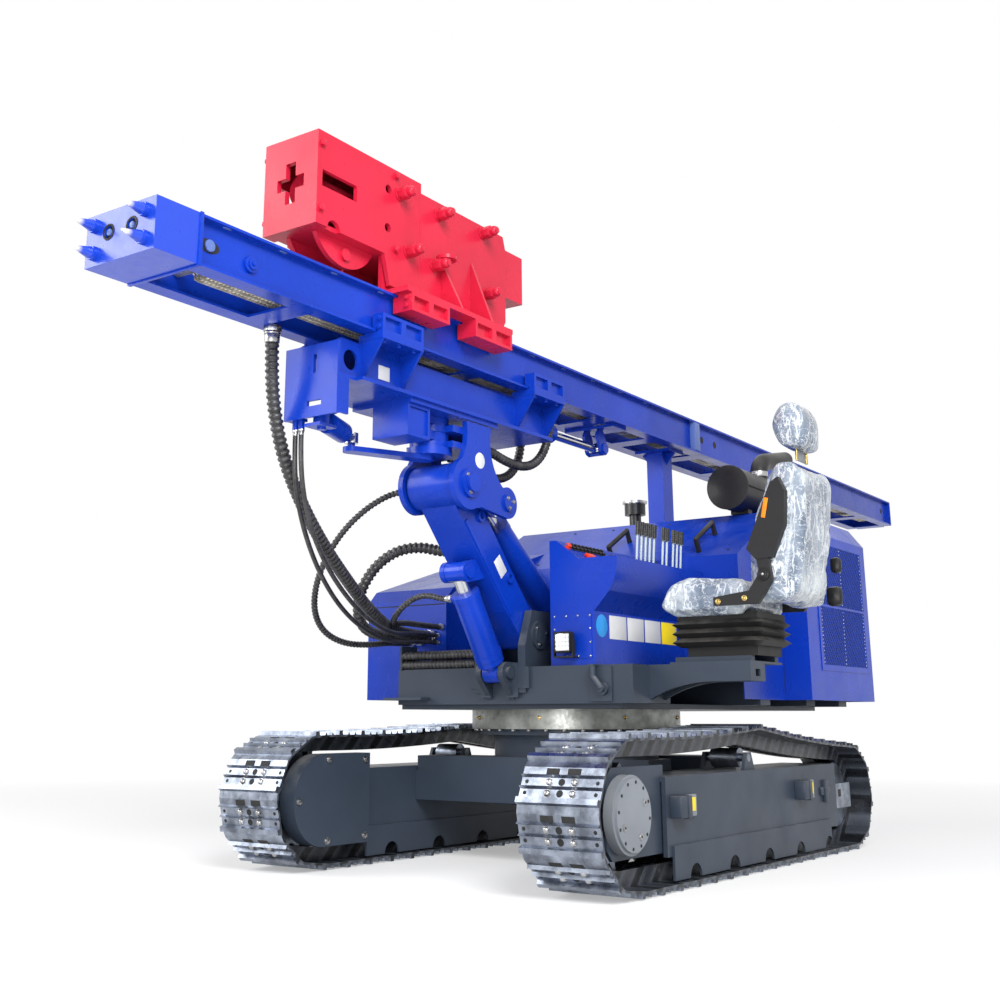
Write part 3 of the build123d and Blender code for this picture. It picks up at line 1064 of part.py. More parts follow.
# Engine hood: sheet steel panels, open below
GRILLE_X = (HOOD_REAR_X + 110, HOOD_BULGE_X - 190)
BLOCK_REAR_X = HOOD_REAR_X + 25
RIGHT_SHOULDER_X = HOOD_FRONT_X - 405
with BuildPart() as hood:
    outline = ((HOOD_REAR_X, HOOD_LOW_Z), (BLOCK_REAR_X, HOOD_SHOULDER_Z), (HOOD_REAR_X + 155, HOOD_ROOF_Z),
               (HOOD_BULGE_X, HOOD_ROOF_Z), (HOOD_FRONT_X, HOOD_EAVE_Z), (HOOD_FRONT_X, HOOD_LOW_Z))
    slab(side_plane(0), outline, 2 * HOOD_SIDE_Y)
    slab(cross_plane((BLOCK_REAR_X + HOOD_BULGE_X) / 2),
         ((HOOD_SIDE_Y - 50, HOOD_LOW_Z), (HOOD_BULGE_Y, HOOD_LOW_Z), (HOOD_BULGE_Y, HOOD_SHOULDER_Z),
          (HOOD_SIDE_Y + 60, HOOD_ROOF_Z), (HOOD_SIDE_Y - 50, HOOD_ROOF_Z)),
         HOOD_BULGE_X - BLOCK_REAR_X)
    slab(side_plane((RIGHT_BLOCK_Y + RIGHT_BLOCK_INNER_Y) / 2),
         ((BLOCK_REAR_X, HOOD_LOW_Z), (BLOCK_REAR_X, HOOD_SHOULDER_Z), (RIGHT_SHOULDER_X, HOOD_SHOULDER_Z),
          (RIGHT_BLOCK_FRONT_X - 60, RIGHT_BLOCK_TOP_Z), (RIGHT_BLOCK_FRONT_X, RIGHT_BLOCK_TOP_Z - 60),
          (RIGHT_BLOCK_FRONT_X, HOOD_LOW_Z)),
         RIGHT_BLOCK_INNER_Y - RIGHT_BLOCK_Y)
    floor_face = hood.faces().filter_by(Axis.Z).sort_by(Axis.Z)[0]
    offset(amount=-HOOD_WALL, openings=floor_face)
    block((DECK_REAR_X - 5, HOOD_FRONT_X + 10), (-HOOD_SIDE_Y + HOOD_WALL, HOOD_SIDE_Y - HOOD_WALL),
          (HOOD_LOW_Z - 10, DECK_TOP_Z + SEAT_GAP), Mode.SUBTRACT)
    block((HOOD_FRONT_X, RIGHT_BLOCK_FRONT_X + 10), (DECK_RIGHT_Y - SEAT_GAP, HOOD_SIDE_Y - HOOD_WALL),
          (HOOD_LOW_Z - 10, DECK_TOP_Z + SEAT_GAP), Mode.SUBTRACT)
    # Raised frame round the grille on the left side, and its middle bar
    for low_x, high_x, low_z, high_z in (
            (GRILLE_X[0] - 30, GRILLE_X[1] + 30, HOOD_SHOULDER_Z - 50, HOOD_SHOULDER_Z - 20),
            (GRILLE_X[0] - 30, GRILLE_X[1] + 30, HOOD_LOW_Z + 150, HOOD_LOW_Z + 180),
            (GRILLE_X[0] - 30, GRILLE_X[0], HOOD_LOW_Z + 150, HOOD_SHOULDER_Z - 20),
            (GRILLE_X[1], GRILLE_X[1] + 30, HOOD_LOW_Z + 150, HOOD_SHOULDER_Z - 20),
            (GRILLE_X[0], GRILLE_X[1], HOOD_LOW_Z + 480, HOOD_LOW_Z + 492)):
        block((low_x, high_x), (HOOD_BULGE_Y - 1, HOOD_BULGE_Y + 4), (low_z, high_z))
hood.part.label = "hood"
export_step(hood.part, "parts/hood.step")

# Two grab handles on the hood's slope: x of the foot, y
with BuildPart() as grab_handles:
    for x, y in ((-300, 560), (-300, 60)):
        slope = (HOOD_ROOF_Z - HOOD_EAVE_Z) / (HOOD_FRONT_X - HOOD_BULGE_X)
        low = (x, y, HOOD_EAVE_Z + slope * (HOOD_FRONT_X - x) + 1)
        high = (x - 200, y, low[2] + slope * 200)
        rise = (30, 0, 60)
        corners = (low, tuple(a + b for a, b in zip(low, rise)),
                   tuple(a + b for a, b in zip(high, rise)), high)
        for start, end in zip(corners, corners[1:]):
            round_bar(start, end, 13)
        for corner in corners[1:3]:
            with Locations(corner):
                Sphere(13)
grab_handles.part.label = "grab_handles"
export_step(grab_handles.part, "parts/grab_handles.step")

with BuildPart() as engine:
    block((-1450, -600), (-330, 330), (DECK_TOP_Z, 1500))
engine.part.label = "engine"
export_step(engine.part, "parts/engine.step")

# Muffler: a drum on two saddles, with an upright stub and a long elbow
with BuildPart() as muffler:
    round_bar((-1130, MUFFLER_Y, MUFFLER_Z), (-600, MUFFLER_Y, MUFFLER_Z), MUFFLER_R)
    for x in (-1050, -760):
        block((x - 25, x + 25), (MUFFLER_Y - 50, MUFFLER_Y + 50), (HOOD_ROOF_Z + SEAT_GAP, MUFFLER_Z - 60))
    elbow_foot = (STACK_X, MUFFLER_Y, MUFFLER_Z)
    bend_z = MUFFLER_Z + STACK_RISE
    with BuildLine() as elbow_line:
        FilletPolyline(elbow_foot, (STACK_X, MUFFLER_Y, bend_z),
                       (STACK_X - STACK_REACH, MUFFLER_Y, bend_z + STACK_END_RISE), radius=STACK_BEND_R)
    with BuildSketch(Plane(origin=elbow_foot, z_dir=(0, 0, 1))) as elbow_section:
        Circle(STACK_R)
    sweep(elbow_section.sketch, path=elbow_line.line)
muffler.part.label = "muffler"
export_step(muffler.part, "parts/muffler.step")

with BuildPart() as pre_cleaner:
    round_bar((-1150, -250, HOOD_ROOF_Z + SEAT_GAP), (-1150, -250, 1830), 35)
    round_bar((-1150, -250, 1829), (-1150, -250, 1900), 62)
    round_bar((-1150, -250, 1899), (-1150, -250, 1912), 74)
pre_cleaner.part.label = "pre_cleaner"
export_step(pre_cleaner.part, "parts/pre_cleaner.step")

# Console: a folded sheet whose left side bulges over the operator's feet
with BuildPart() as console:
    with BuildSketch(cross_plane(CONSOLE_REAR_X)) as profile:
        with BuildLine():
            shell = Polyline((CONSOLE_FOOT_Y, DECK_TOP_Z), (CONSOLE_RIGHT_Y, DECK_TOP_Z),
                             (CONSOLE_RIGHT_Y, CONSOLE_TOP_Z), (CONSOLE_RIGHT_Y + 36, CONSOLE_TOP_Z),
                             (CONSOLE_RIGHT_Y + 151, CONSOLE_DESK_Z), (CONSOLE_LEFT_Y, CONSOLE_DESK_Z))
            side_curve = ThreePointArc((CONSOLE_LEFT_Y, CONSOLE_DESK_Z), (CONSOLE_LEFT_Y - 12, 1255),
                                       (CONSOLE_LEFT_Y - 42, 1195))
            foot = Polyline((CONSOLE_LEFT_Y - 42, 1195), (CONSOLE_FOOT_Y, 1110),
                            (CONSOLE_FOOT_Y, DECK_TOP_Z))
        make_face()
    extrude(profile.sketch, amount=CONSOLE_FRONT_X - CONSOLE_REAR_X)
    underside = console.faces().filter_by(Axis.Z).sort_by(Axis.Z)[0]
    offset(amount=-CONSOLE_WALL, openings=underside)
    block((CONSOLE_FRONT_X - 1, CONSOLE_FRONT_X + 3), (CONSOLE_RIGHT_Y + 14, CONSOLE_FOOT_Y - 14),
          (DECK_TOP_Z + 30, 1100))
console.part.label = "console"
export_step(console.part, "parts/console.step")

# Ten levers in three groups, each with a gaiter, and the row of switches on the slope
with BuildPart() as levers:
    for first, count in LEVER_GROUPS:
        for number in range(count):
            x = first - LEVER_PITCH * number
            round_bar((x, LEVER_Y, CONSOLE_DESK_Z + SEAT_GAP), (x, LEVER_Y, CONSOLE_DESK_Z + 18), 15)
            round_bar((x, LEVER_Y, CONSOLE_DESK_Z + 17), (x, LEVER_Y + 10, CONSOLE_DESK_Z + 150), 5.5)
            round_bar((x, LEVER_Y + 9.5, CONSOLE_DESK_Z + 140), (x, LEVER_Y + 15, CONSOLE_DESK_Z + 205), 11)
levers.part.label = "control_levers"
export_step(levers.part, "parts/control_levers.step")

# Work lamp: a square body with cooling fins on a stirrup
LAMP_Y, LAMP_Z = 350, 975
with BuildPart() as lamp:
    lamp_x = CONSOLE_FRONT_X + 36
    with BuildSketch(cross_plane(lamp_x)) as lamp_outline:
        with Locations((LAMP_Y, LAMP_Z)):
            RectangleRounded(LAMP_SIZE, LAMP_SIZE, 14)
    extrude(lamp_outline.sketch, amount=28)
    for number in range(5):
        fin = LAMP_Y - 36 + 18 * number
        block((lamp_x - 14, lamp_x + 1), (fin - 3, fin + 3), (LAMP_Z - 36, LAMP_Z + 36))
    for sign in (-1, 1):
        block((lamp_x + 2, lamp_x + 20),
              (LAMP_Y + sign * LAMP_SIZE / 2 - 1, LAMP_Y + sign * (LAMP_SIZE / 2 + 5)),
              (LAMP_Z - 62, LAMP_Z + 8))
    block((CONSOLE_FRONT_X + 3 + SEAT_GAP, lamp_x + 20),
          (LAMP_Y - LAMP_SIZE / 2 - 5, LAMP_Y + LAMP_SIZE / 2 + 5), (LAMP_Z - 67, LAMP_Z - 61))
lamp.part.label = "work_lamp"
export_step(lamp.part, "parts/work_lamp.step")

# Seat, facing the console, on a bracket at the deck's left side
ARM_ROOT_Y = DECK_LEFT_Y + SEAT_GAP
with BuildPart() as seat_bracket:
    with BuildSketch(cross_plane(SEAT_ARM_SPAN[0])) as arm_side:
        with BuildLine():
            over = Polyline((ARM_ROOT_Y, BEAM_LOW_Z + 15), (ARM_ROOT_Y, DECK_TOP_Z),
                            (SEAT_ARM_END_Y, DECK_TOP_Z), (SEAT_ARM_END_Y, DECK_TOP_Z - 75),
                            (SEAT_ARM_END_Y - 190, DECK_TOP_Z - 75))
            curve = ThreePointArc((SEAT_ARM_END_Y - 190, DECK_TOP_Z - 75),
                                  (ARM_ROOT_Y + 100, DECK_TOP_Z - 104), (ARM_ROOT_Y, BEAM_LOW_Z + 15))
        make_face()
    extrude(arm_side.sketch, amount=SEAT_ARM_SPAN[1] - SEAT_ARM_SPAN[0])
    block((SEAT_ARM_SPAN[0] + 22, SEAT_ARM_SPAN[1] - 22), (ARM_ROOT_Y - 1, SEAT_ARM_END_Y - 8),
          (BEAM_LOW_Z, DECK_TOP_Z - 12), Mode.SUBTRACT)
    block((SEAT_ARM_SPAN[0] + 50, SEAT_ARM_SPAN[1] - 50), (SEAT_ARM_END_Y - 20, SEAT_ARM_END_Y + 1),
          (DECK_TOP_Z - 55, DECK_TOP_Z - 25), Mode.SUBTRACT)
    block((SEAT_X - 175, SEAT_ARM_SPAN[1]), (780, SEAT_ARM_END_Y), (DECK_TOP_Z - 1, DECK_TOP_Z + 8))
    for x in (SEAT_X - 140, SEAT_X + 110):
        block((x - 18, x + 18), (790, SEAT_ARM_END_Y - 10), (DECK_TOP_Z + 7, SEAT_BASE_Z - SEAT_GAP))
seat_bracket.part.label = "seat_bracket"
export_step(seat_bracket.part, "parts/seat_bracket.step")

# Seat base: an accordion of rubber folds over the suspension
FOLDS = 3
FOLD_RISE = 38
BELLOWS_LOW_Z = SEAT_BASE_Z + 40
with BuildPart() as seat_base:
    block((SEAT_X - 125, SEAT_X + 125), (850, 1170), (SEAT_BASE_Z, BELLOWS_LOW_Z + 1))
    for number in range(FOLDS):
        low = BELLOWS_LOW_Z + FOLD_RISE * number
        for height, sizes in ((low, ((300, 370), (350, 420))),
                              (low + FOLD_RISE / 2, ((350, 420), (300, 370)))):
            with BuildSketch(Plane.XY.offset(height)) as first:
                with Locations((SEAT_X, 1000)):
                    RectangleRounded(*sizes[0], 30)
            with BuildSketch(Plane.XY.offset(height + FOLD_RISE / 2)) as second:
                with Locations((SEAT_X, 1000)):
                    RectangleRounded(*sizes[1], 30)
            loft([first.sketch, second.sketch], ruled=True)
    block((SEAT_X - 150, SEAT_X + 150), (815, 1185),
          (BELLOWS_LOW_Z + FOLDS * FOLD_RISE - 1, CUSHION_LOW_Z - SEAT_GAP))
seat_base.part.label = "seat_base"
export_step(seat_base.part, "parts/seat_base.step")

with BuildPart() as cushion:
    slab(cross_plane(SEAT_X),
         ((SEAT_FRONT_Y, CUSHION_LOW_Z + 30), (SEAT_FRONT_Y + 60, CUSHION_TOP_Z - 20),
          (SEAT_FRONT_Y + 130, CUSHION_TOP_Z), (SEAT_BACK_Y - SEAT_GAP, CUSHION_TOP_Z - 20),
          (SEAT_BACK_Y - SEAT_GAP, CUSHION_LOW_Z), (SEAT_FRONT_Y + 40, CUSHION_LOW_Z)), SEAT_WIDTH)
cushion.part.label = "seat_cushion"
export_step(cushion.part, "parts/seat_cushion.step")

with BuildPart() as backrest:
    slab(cross_plane(SEAT_X), ((SEAT_BACK_Y, CUSHION_LOW_Z + 5), (SEAT_BACK_Y + 170, CUSHION_LOW_Z + 5),
                               (1400, 1400), (1420, BACK_TOP_Z - 30), (1395, BACK_TOP_Z),
                               (1320, BACK_TOP_Z), (1225, 1500), (SEAT_BACK_Y, 1320)), SEAT_WIDTH - 20)
backrest.part.label = "seat_back"
export_step(backrest.part, "parts/seat_back.step")

with BuildPart() as headrest:
    slab(cross_plane(SEAT_X), ((1300, HEADREST_LOW_Z + 20), (1265, HEADREST_LOW_Z + 130),
                               (1310, HEADREST_LOW_Z + 215), (1385, HEADREST_LOW_Z + 225),
                               (1430, HEADREST_LOW_Z + 150), (1425, HEADREST_LOW_Z)), 240)
    for x in (SEAT_X - 55, SEAT_X + 55):
        round_bar((x, 1365, BACK_TOP_Z + SEAT_GAP), (x, 1365, HEADREST_LOW_Z + 60), 6)
headrest.part.label = "headrest"
export_step(headrest.part, "parts/headrest.step")

# Side cover and recliner bracket on the seat's left and right
with BuildPart() as seat_recliner:
    for sign in (-1, 1):
        x = SEAT_X + sign * (SEAT_WIDTH / 2 + 12)
        slab(cross_plane(x), ((SEAT_BACK_Y - 140, 1105), (SEAT_BACK_Y - 140, 1140), (SEAT_BACK_Y + 20, 1160),
                              (SEAT_BACK_Y + 70, 1230), (SEAT_BACK_Y + 60, 1290), (SEAT_BACK_Y + 110, 1300),
                              (SEAT_BACK_Y + 125, 1200), (SEAT_BACK_Y + 60, 1105)), 23)
        cover_x = SEAT_X + sign * (SEAT_WIDTH / 2 + 9)
        slab(cross_plane(cover_x),
             ((SEAT_BACK_Y + 20, 1330), (SEAT_BACK_Y + 60, 1285), (SEAT_BACK_Y + 130, 1290),
              (SEAT_BACK_Y + 190, 1420), (SEAT_BACK_Y + 200, 1560), (SEAT_BACK_Y + 175, 1620),
              (SEAT_BACK_Y + 140, 1600)), 37)
seat_recliner.part.label = "seat_recliner"
export_step(seat_recliner.part, "parts/seat_recliner.step")


def hose(name, diameter, route):
    """A hose as a tube of straight runs joined by the largest arcs that fit."""
    radii = []
    for before, corner, after in zip(route, route[1:], route[2:]):
        first, second = Vector(*corner) - Vector(*before), Vector(*after) - Vector(*corner)
        half_turn = radians(first.get_angle(second)) / 2
        radii.append(0.45 * min(first.length, second.length) / tan(half_turn))
    with BuildPart() as tube:
        with BuildLine() as line:
            if radii:
                FilletPolyline(*route, radius=radii)
            else:
                Line(*route)
        with BuildSketch(Plane(origin=route[0], z_dir=Vector(*route[1]) - Vector(*route[0]))) as section:
            Circle(diameter / 2)
        sweep(section.sketch, path=line.line)
    length = sum(edge.length for edge in line.edges())
    share = tube.part.volume / (pi * (diameter / 2) ** 2 * length)
    print(name, "length", round(length), "radii", [round(r / diameter, 1) for r in radii],
          "volume share", round(share, 4))
    tube.part.label = name
    export_step(tube.part, f"parts/{name}.step")


for hose_name, (hose_diameter, hose_route) in HOSES.items():
    hose(hose_name, hose_diameter, hose_route)
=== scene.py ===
# %% [markdown]
# # A tracked pile driver rig, dressed
# The rig's steel pieces come in at their real sizes and places, and this lesson gives them their
# finishes, their small hardware, their hoses and their soft seat. Everything is in metres, with +X
# forwards, +Y to the machine's left and +Z up, and the ground is at zero.

# %% Load the frame
import json
import math
import bpy
from mathutils import Matrix, Vector, noise as rumple


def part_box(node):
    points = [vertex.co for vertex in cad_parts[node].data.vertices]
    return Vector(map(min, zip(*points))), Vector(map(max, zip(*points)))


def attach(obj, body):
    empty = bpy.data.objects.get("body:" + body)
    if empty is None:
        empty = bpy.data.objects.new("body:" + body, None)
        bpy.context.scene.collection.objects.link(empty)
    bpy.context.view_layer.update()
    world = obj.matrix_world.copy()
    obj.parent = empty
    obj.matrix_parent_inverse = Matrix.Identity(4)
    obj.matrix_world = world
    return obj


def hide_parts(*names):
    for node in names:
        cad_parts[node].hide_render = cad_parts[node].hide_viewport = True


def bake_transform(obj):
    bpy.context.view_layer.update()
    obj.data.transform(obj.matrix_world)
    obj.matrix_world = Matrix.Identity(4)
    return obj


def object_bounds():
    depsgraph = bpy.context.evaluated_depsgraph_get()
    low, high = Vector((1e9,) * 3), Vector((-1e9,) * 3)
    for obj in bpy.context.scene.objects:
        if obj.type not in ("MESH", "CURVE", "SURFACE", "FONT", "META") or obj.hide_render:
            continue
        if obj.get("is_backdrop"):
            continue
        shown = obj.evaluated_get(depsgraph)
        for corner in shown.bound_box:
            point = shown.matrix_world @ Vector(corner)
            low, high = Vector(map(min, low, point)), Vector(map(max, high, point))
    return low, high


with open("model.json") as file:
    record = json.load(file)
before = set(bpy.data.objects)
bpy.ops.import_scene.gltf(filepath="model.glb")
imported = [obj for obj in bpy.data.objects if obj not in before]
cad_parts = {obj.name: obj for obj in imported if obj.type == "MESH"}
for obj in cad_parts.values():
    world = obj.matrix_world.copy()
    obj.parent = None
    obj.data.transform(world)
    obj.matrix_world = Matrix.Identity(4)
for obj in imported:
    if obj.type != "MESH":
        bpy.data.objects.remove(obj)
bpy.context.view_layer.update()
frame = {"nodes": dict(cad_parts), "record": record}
nodes = frame["nodes"]


def clear_selection():
    if bpy.context.object and bpy.context.object.mode != "OBJECT":
        bpy.ops.object.mode_set(mode="OBJECT")
    bpy.ops.object.select_all(action="DESELECT")


clear_selection()

# %% [markdown]
# The photograph was taken from the rig's front left, with the camera low and tilted up, so the
# mast's underside shows. A camera is a place, a direction and a focal length. They could be found
# by trial, but here they were solved from the machine's straight edges, so a render lies on the
# photograph. The lens is shifted a little because the picture was cropped off its middle.

# %% Camera
PICTURE_SIZE = 1000.0
FOCAL_PIXELS = 1254.0
LENS_CENTRE = (471.0, 400.0)
CAMERA_PLACE = (5.486, 3.311, 0.648)
CAMERA_YAW = math.radians(35.74)
CAMERA_PITCH = math.radians(14.25)

camera_data = bpy.data.cameras.new("camera")
camera_data.sensor_width = 36.0
camera_data.lens = camera_data.sensor_width * FOCAL_PIXELS / PICTURE_SIZE
camera_data.shift_x = (PICTURE_SIZE / 2 - LENS_CENTRE[0]) / PICTURE_SIZE
camera_data.shift_y = (LENS_CENTRE[1] - PICTURE_SIZE / 2) / PICTURE_SIZE
camera_data.clip_end = 200.0
camera = bpy.data.objects.new("camera", camera_data)
camera.location = CAMERA_PLACE
camera.rotation_euler = (math.pi / 2 + CAMERA_PITCH, 0.0, math.pi / 2 + CAMERA_YAW)
bpy.context.scene.collection.objects.link(camera)
bpy.context.scene.camera = camera
print("camera at", tuple(camera.location))

# %% [markdown]
# Every finish is a small tree of shader nodes. A tree could be wired by hand in the shader editor,
# but the same few steps come back in each of them, so each step gets a function. The first two
# start a tree and add a node to it. A node's input is either a value or the output of another node.

# %% Node helpers


def node_tree(name):
    """A new material, and its node tree without nodes."""
    material = bpy.data.materials.new(name)
    material.use_nodes = True
    material.node_tree.nodes.clear()
    return material, material.node_tree


def add_node(tree, kind, inputs=None, **settings):
    """A shader node; each input is given as a value or as another node's output."""
    node = tree.nodes.new("ShaderNode" + kind)
    for setting, value in settings.items():
        setattr(node, setting, value)
    for name, value in (inputs or {}).items():
        socket = node.inputs[name]
        if isinstance(value, bpy.types.NodeSocket):
            tree.links.new(value, socket)
        elif socket.type == "RGBA":
            socket.default_value = (*value, 1.0)
        else:
            socket.default_value = value
    return node


# %% [markdown]
# Many finishes change with the place or with the way that a face looks. A generated or unwrapped
# map could tell the place too, but Object coordinates are plain metres and stay with the piece when
# it moves, so every pattern here reads them.

# %% Places and sums


def object_place(tree):
    return add_node(tree, "TexCoord").outputs["Object"]


def facing_normal(tree):
    return add_node(tree, "NewGeometry").outputs["Normal"]


def one_axis(tree, vector, axis):
    return add_node(tree, "SeparateXYZ", {0: vector}).outputs[axis]


def maths(tree, operation, *values, clamp=False):
    """One sum of numbers and node outputs."""
    node = add_node(tree, "Math", dict(enumerate(values)), operation=operation, use_clamp=clamp)
    return node.outputs[0]


def spread(tree, value, low, high, to_low=0.0, to_high=1.0):
    """How far a value is from low to high, spread between two other values."""
    limits = {"From Min": low, "From Max": high, "To Min": to_low, "To Max": to_high}
    return add_node(tree, "MapRange", {"Value": value, **limits}).outputs[0]


def height_share(tree, low, high, axis="Z"):
    """How far a point is from low to high along an axis, from 0 to 1."""
    return spread(tree, one_axis(tree, object_place(tree), axis), low, high)


# %% [markdown]
# Dirt, wear and stains are never even. A photograph of rust could be laid over the piece, but it
# would blur near by and repeat far off. Noise has no size limit: a ramp turns it into colours or
# into a roughness, and a bump turns it into a skin.

# %% Noise, ramps and the shader


def noise(tree, scale, detail=3.0, rough=0.55, stretch=None):
    """Noise on Object coordinates, in metres."""
    place = object_place(tree)
    if stretch:
        place = add_node(tree, "Mapping", {"Vector": place, "Scale": stretch}).outputs[0]
    look = {"Vector": place, "Scale": scale, "Detail": detail, "Roughness": rough}
    return add_node(tree, "TexNoise", look).outputs["Fac"]


def ramp(tree, factor, stops, sharp=False):
    """A colour ramp; each stop is a position and a grey level or a colour."""
    node = add_node(tree, "ValToRGB", {"Fac": factor})
    if sharp:
        node.color_ramp.interpolation = "CONSTANT"
    elements = node.color_ramp.elements
    while len(elements) < len(stops):
        elements.new(0.5)
    for element, (position, colour) in zip(elements, stops):
        element.position = position
        shade = colour if isinstance(colour, tuple) else (colour, colour, colour)
        element.color = (*shade, 1.0)
    return node.outputs["Color"]


def uneven(tree, scale, low, high):
    """A grey level or colour that wanders between two values."""
    return ramp(tree, noise(tree, scale), ((0.3, low), (0.8, high)))


def mix_colour(tree, factor, first, second):
    return add_node(tree, "Mix", {0: factor, 6: first, 7: second}, data_type="RGBA").outputs[2]


def bump(tree, height, strength, distance):
    look = {"Height": height, "Strength": strength, "Distance": distance}
    return add_node(tree, "Bump", look).outputs["Normal"]


def shaded(tree, colour, roughness, normal=None, metallic=0.0, coat=0.0, shine=0.5):
    """The surface shader and the material's output."""
    look = {"Base Color": colour, "Roughness": roughness, "Metallic": metallic,
            "Specular IOR Level": shine, "Coat Weight": coat, "Coat Roughness": 0.10}
    if normal is not None:
        look["Normal"] = normal
    shader = add_node(tree, "BsdfPrincipled", look)
    add_node(tree, "OutputMaterial", {"Surface": shader.outputs[0]})


# %% [markdown]
# Two functions make most finishes. Sprayed paint is one colour with faint clouds, a little wear and
# a fine orange-peel bump, and it is paler where a face looks up: thin dust, and on the blue and red
# paints a painted sheen of the sky in the paint's own hue. Bare metal has stains and a grain. A plain
# colour with one roughness would do for a toy, but on a machine it is the small changes in the shine
# that make a large flat panel look like steel.

# %% Paint and metal


def paint(name, colour, roughness=0.36, dust_and_sheen=0.12, dust_and_sheen_colour=(0.42, 0.40, 0.36)):
    """Sprayed paint with faint clouds, paler faces that look up, and an orange-peel skin."""
    material, tree = node_tree(name)
    cloud = ramp(tree, noise(tree, 2.2), ((0.3, 0.0), (0.75, 1.0)))
    base = mix_colour(tree, cloud, tuple(0.74 * part for part in colour), colour)
    scuff = ramp(tree, noise(tree, 38.0, 6.0, 0.7), ((0.63, 0.0), (0.72, 0.30)))
    scuffed = mix_colour(tree, scuff, base, tuple(0.5 * part + 0.04 for part in colour))
    # Faces that look up turn paler: grey dust, and for the blue and red paints a painted sheen of the
    # sky.
    patches = ramp(tree, noise(tree, 9.0), ((0.35, 0.0), (0.8, dust_and_sheen * 2.0)))
    top_dust_and_sheen = maths(tree, "MULTIPLY", one_axis(tree, facing_normal(tree), "Z"), patches, clamp=True)
    dusted_and_sheened = mix_colour(tree, top_dust_and_sheen, scuffed, dust_and_sheen_colour)
    rough = uneven(tree, 6.0, roughness - 0.06, roughness + 0.10)
    skin = bump(tree, noise(tree, 240.0, 2.0), 0.06, 0.0006)
    shaded(tree, dusted_and_sheened, rough, skin, coat=0.05, shine=0.22)
    return material


def metal(name, colour, roughness, grain=60.0, worn=0.5, metallic=1.0):
    """Bare steel with darker stains and a fine grain."""
    material, tree = node_tree(name)
    stain = ramp(tree, noise(tree, 14.0, 5.0), ((0.35, 0.0), (0.7, 1.0)))
    base = mix_colour(tree, stain, tuple(worn * part for part in colour), colour)
    rough = uneven(tree, grain, roughness - 0.08, roughness + 0.12)
    skin = bump(tree, noise(tree, grain * 4, 3.0), 0.15, 0.0008)
    shaded(tree, base, rough, skin, metallic=metallic)
    return material


# %% [markdown]
# Each node of the CAD model has a material slot that says what it is made of. The slot's finish
# could be set by hand on each of the nodes, but a dictionary from slot to finish paints them all
# and gives every piece of a kind the same look.

# %% Finishes of the slots
BLUE = (0.003, 0.036, 0.40)
RED = (0.58, 0.014, 0.045)
SLATE = (0.034, 0.046, 0.068)
BLACK = (0.012, 0.012, 0.014)
CHROME = (0.62, 0.62, 0.64)
materials = {
    # The blue and red paints' colour for faces that look up is a painted sheen of the sky, pale and in
    # the paint's own hue; the other paints get grey dust there.
    "royal_blue_paint": paint("royal_blue_paint", BLUE, 0.28, 0.05, (0.25, 0.30, 0.42)),
    "red_paint": paint("red_paint", RED, 0.30, 0.08, (0.70, 0.30, 0.26)),
    "slate_paint": paint("slate_paint", SLATE, 0.42, 0.20),
    "black_paint": paint("black_paint", BLACK, 0.40, 0.10),
    "grey_paint": paint("grey_paint", (0.22, 0.24, 0.27), 0.45, 0.15),
    "bare_steel": metal("bare_steel", (0.32, 0.33, 0.31), 0.36),
    "track_steel": metal("track_steel", (0.34, 0.38, 0.46), 0.36, 45.0, 0.38),
    "chromed_rod": metal("chromed_rod", CHROME, 0.14, 30.0, 0.9),
    "seat_vinyl": paint("seat_vinyl", (0.02, 0.02, 0.022), 0.6, 0.0),
    "black_plastic": paint("black_plastic", (0.016, 0.016, 0.017), 0.5, 0.05),
    "black_rubber": paint("black_rubber", (0.012, 0.012, 0.012), 0.55, 0.10),
}
slot_of = {entry["node"]: entry["material_slot"] for entry in frame["record"]["subparts"]}
for node_name, node_object in nodes.items():
    node_object.data.materials.clear()
    node_object.data.materials.append(materials[slot_of[node_name]])
print("painted", len(nodes), "nodes")
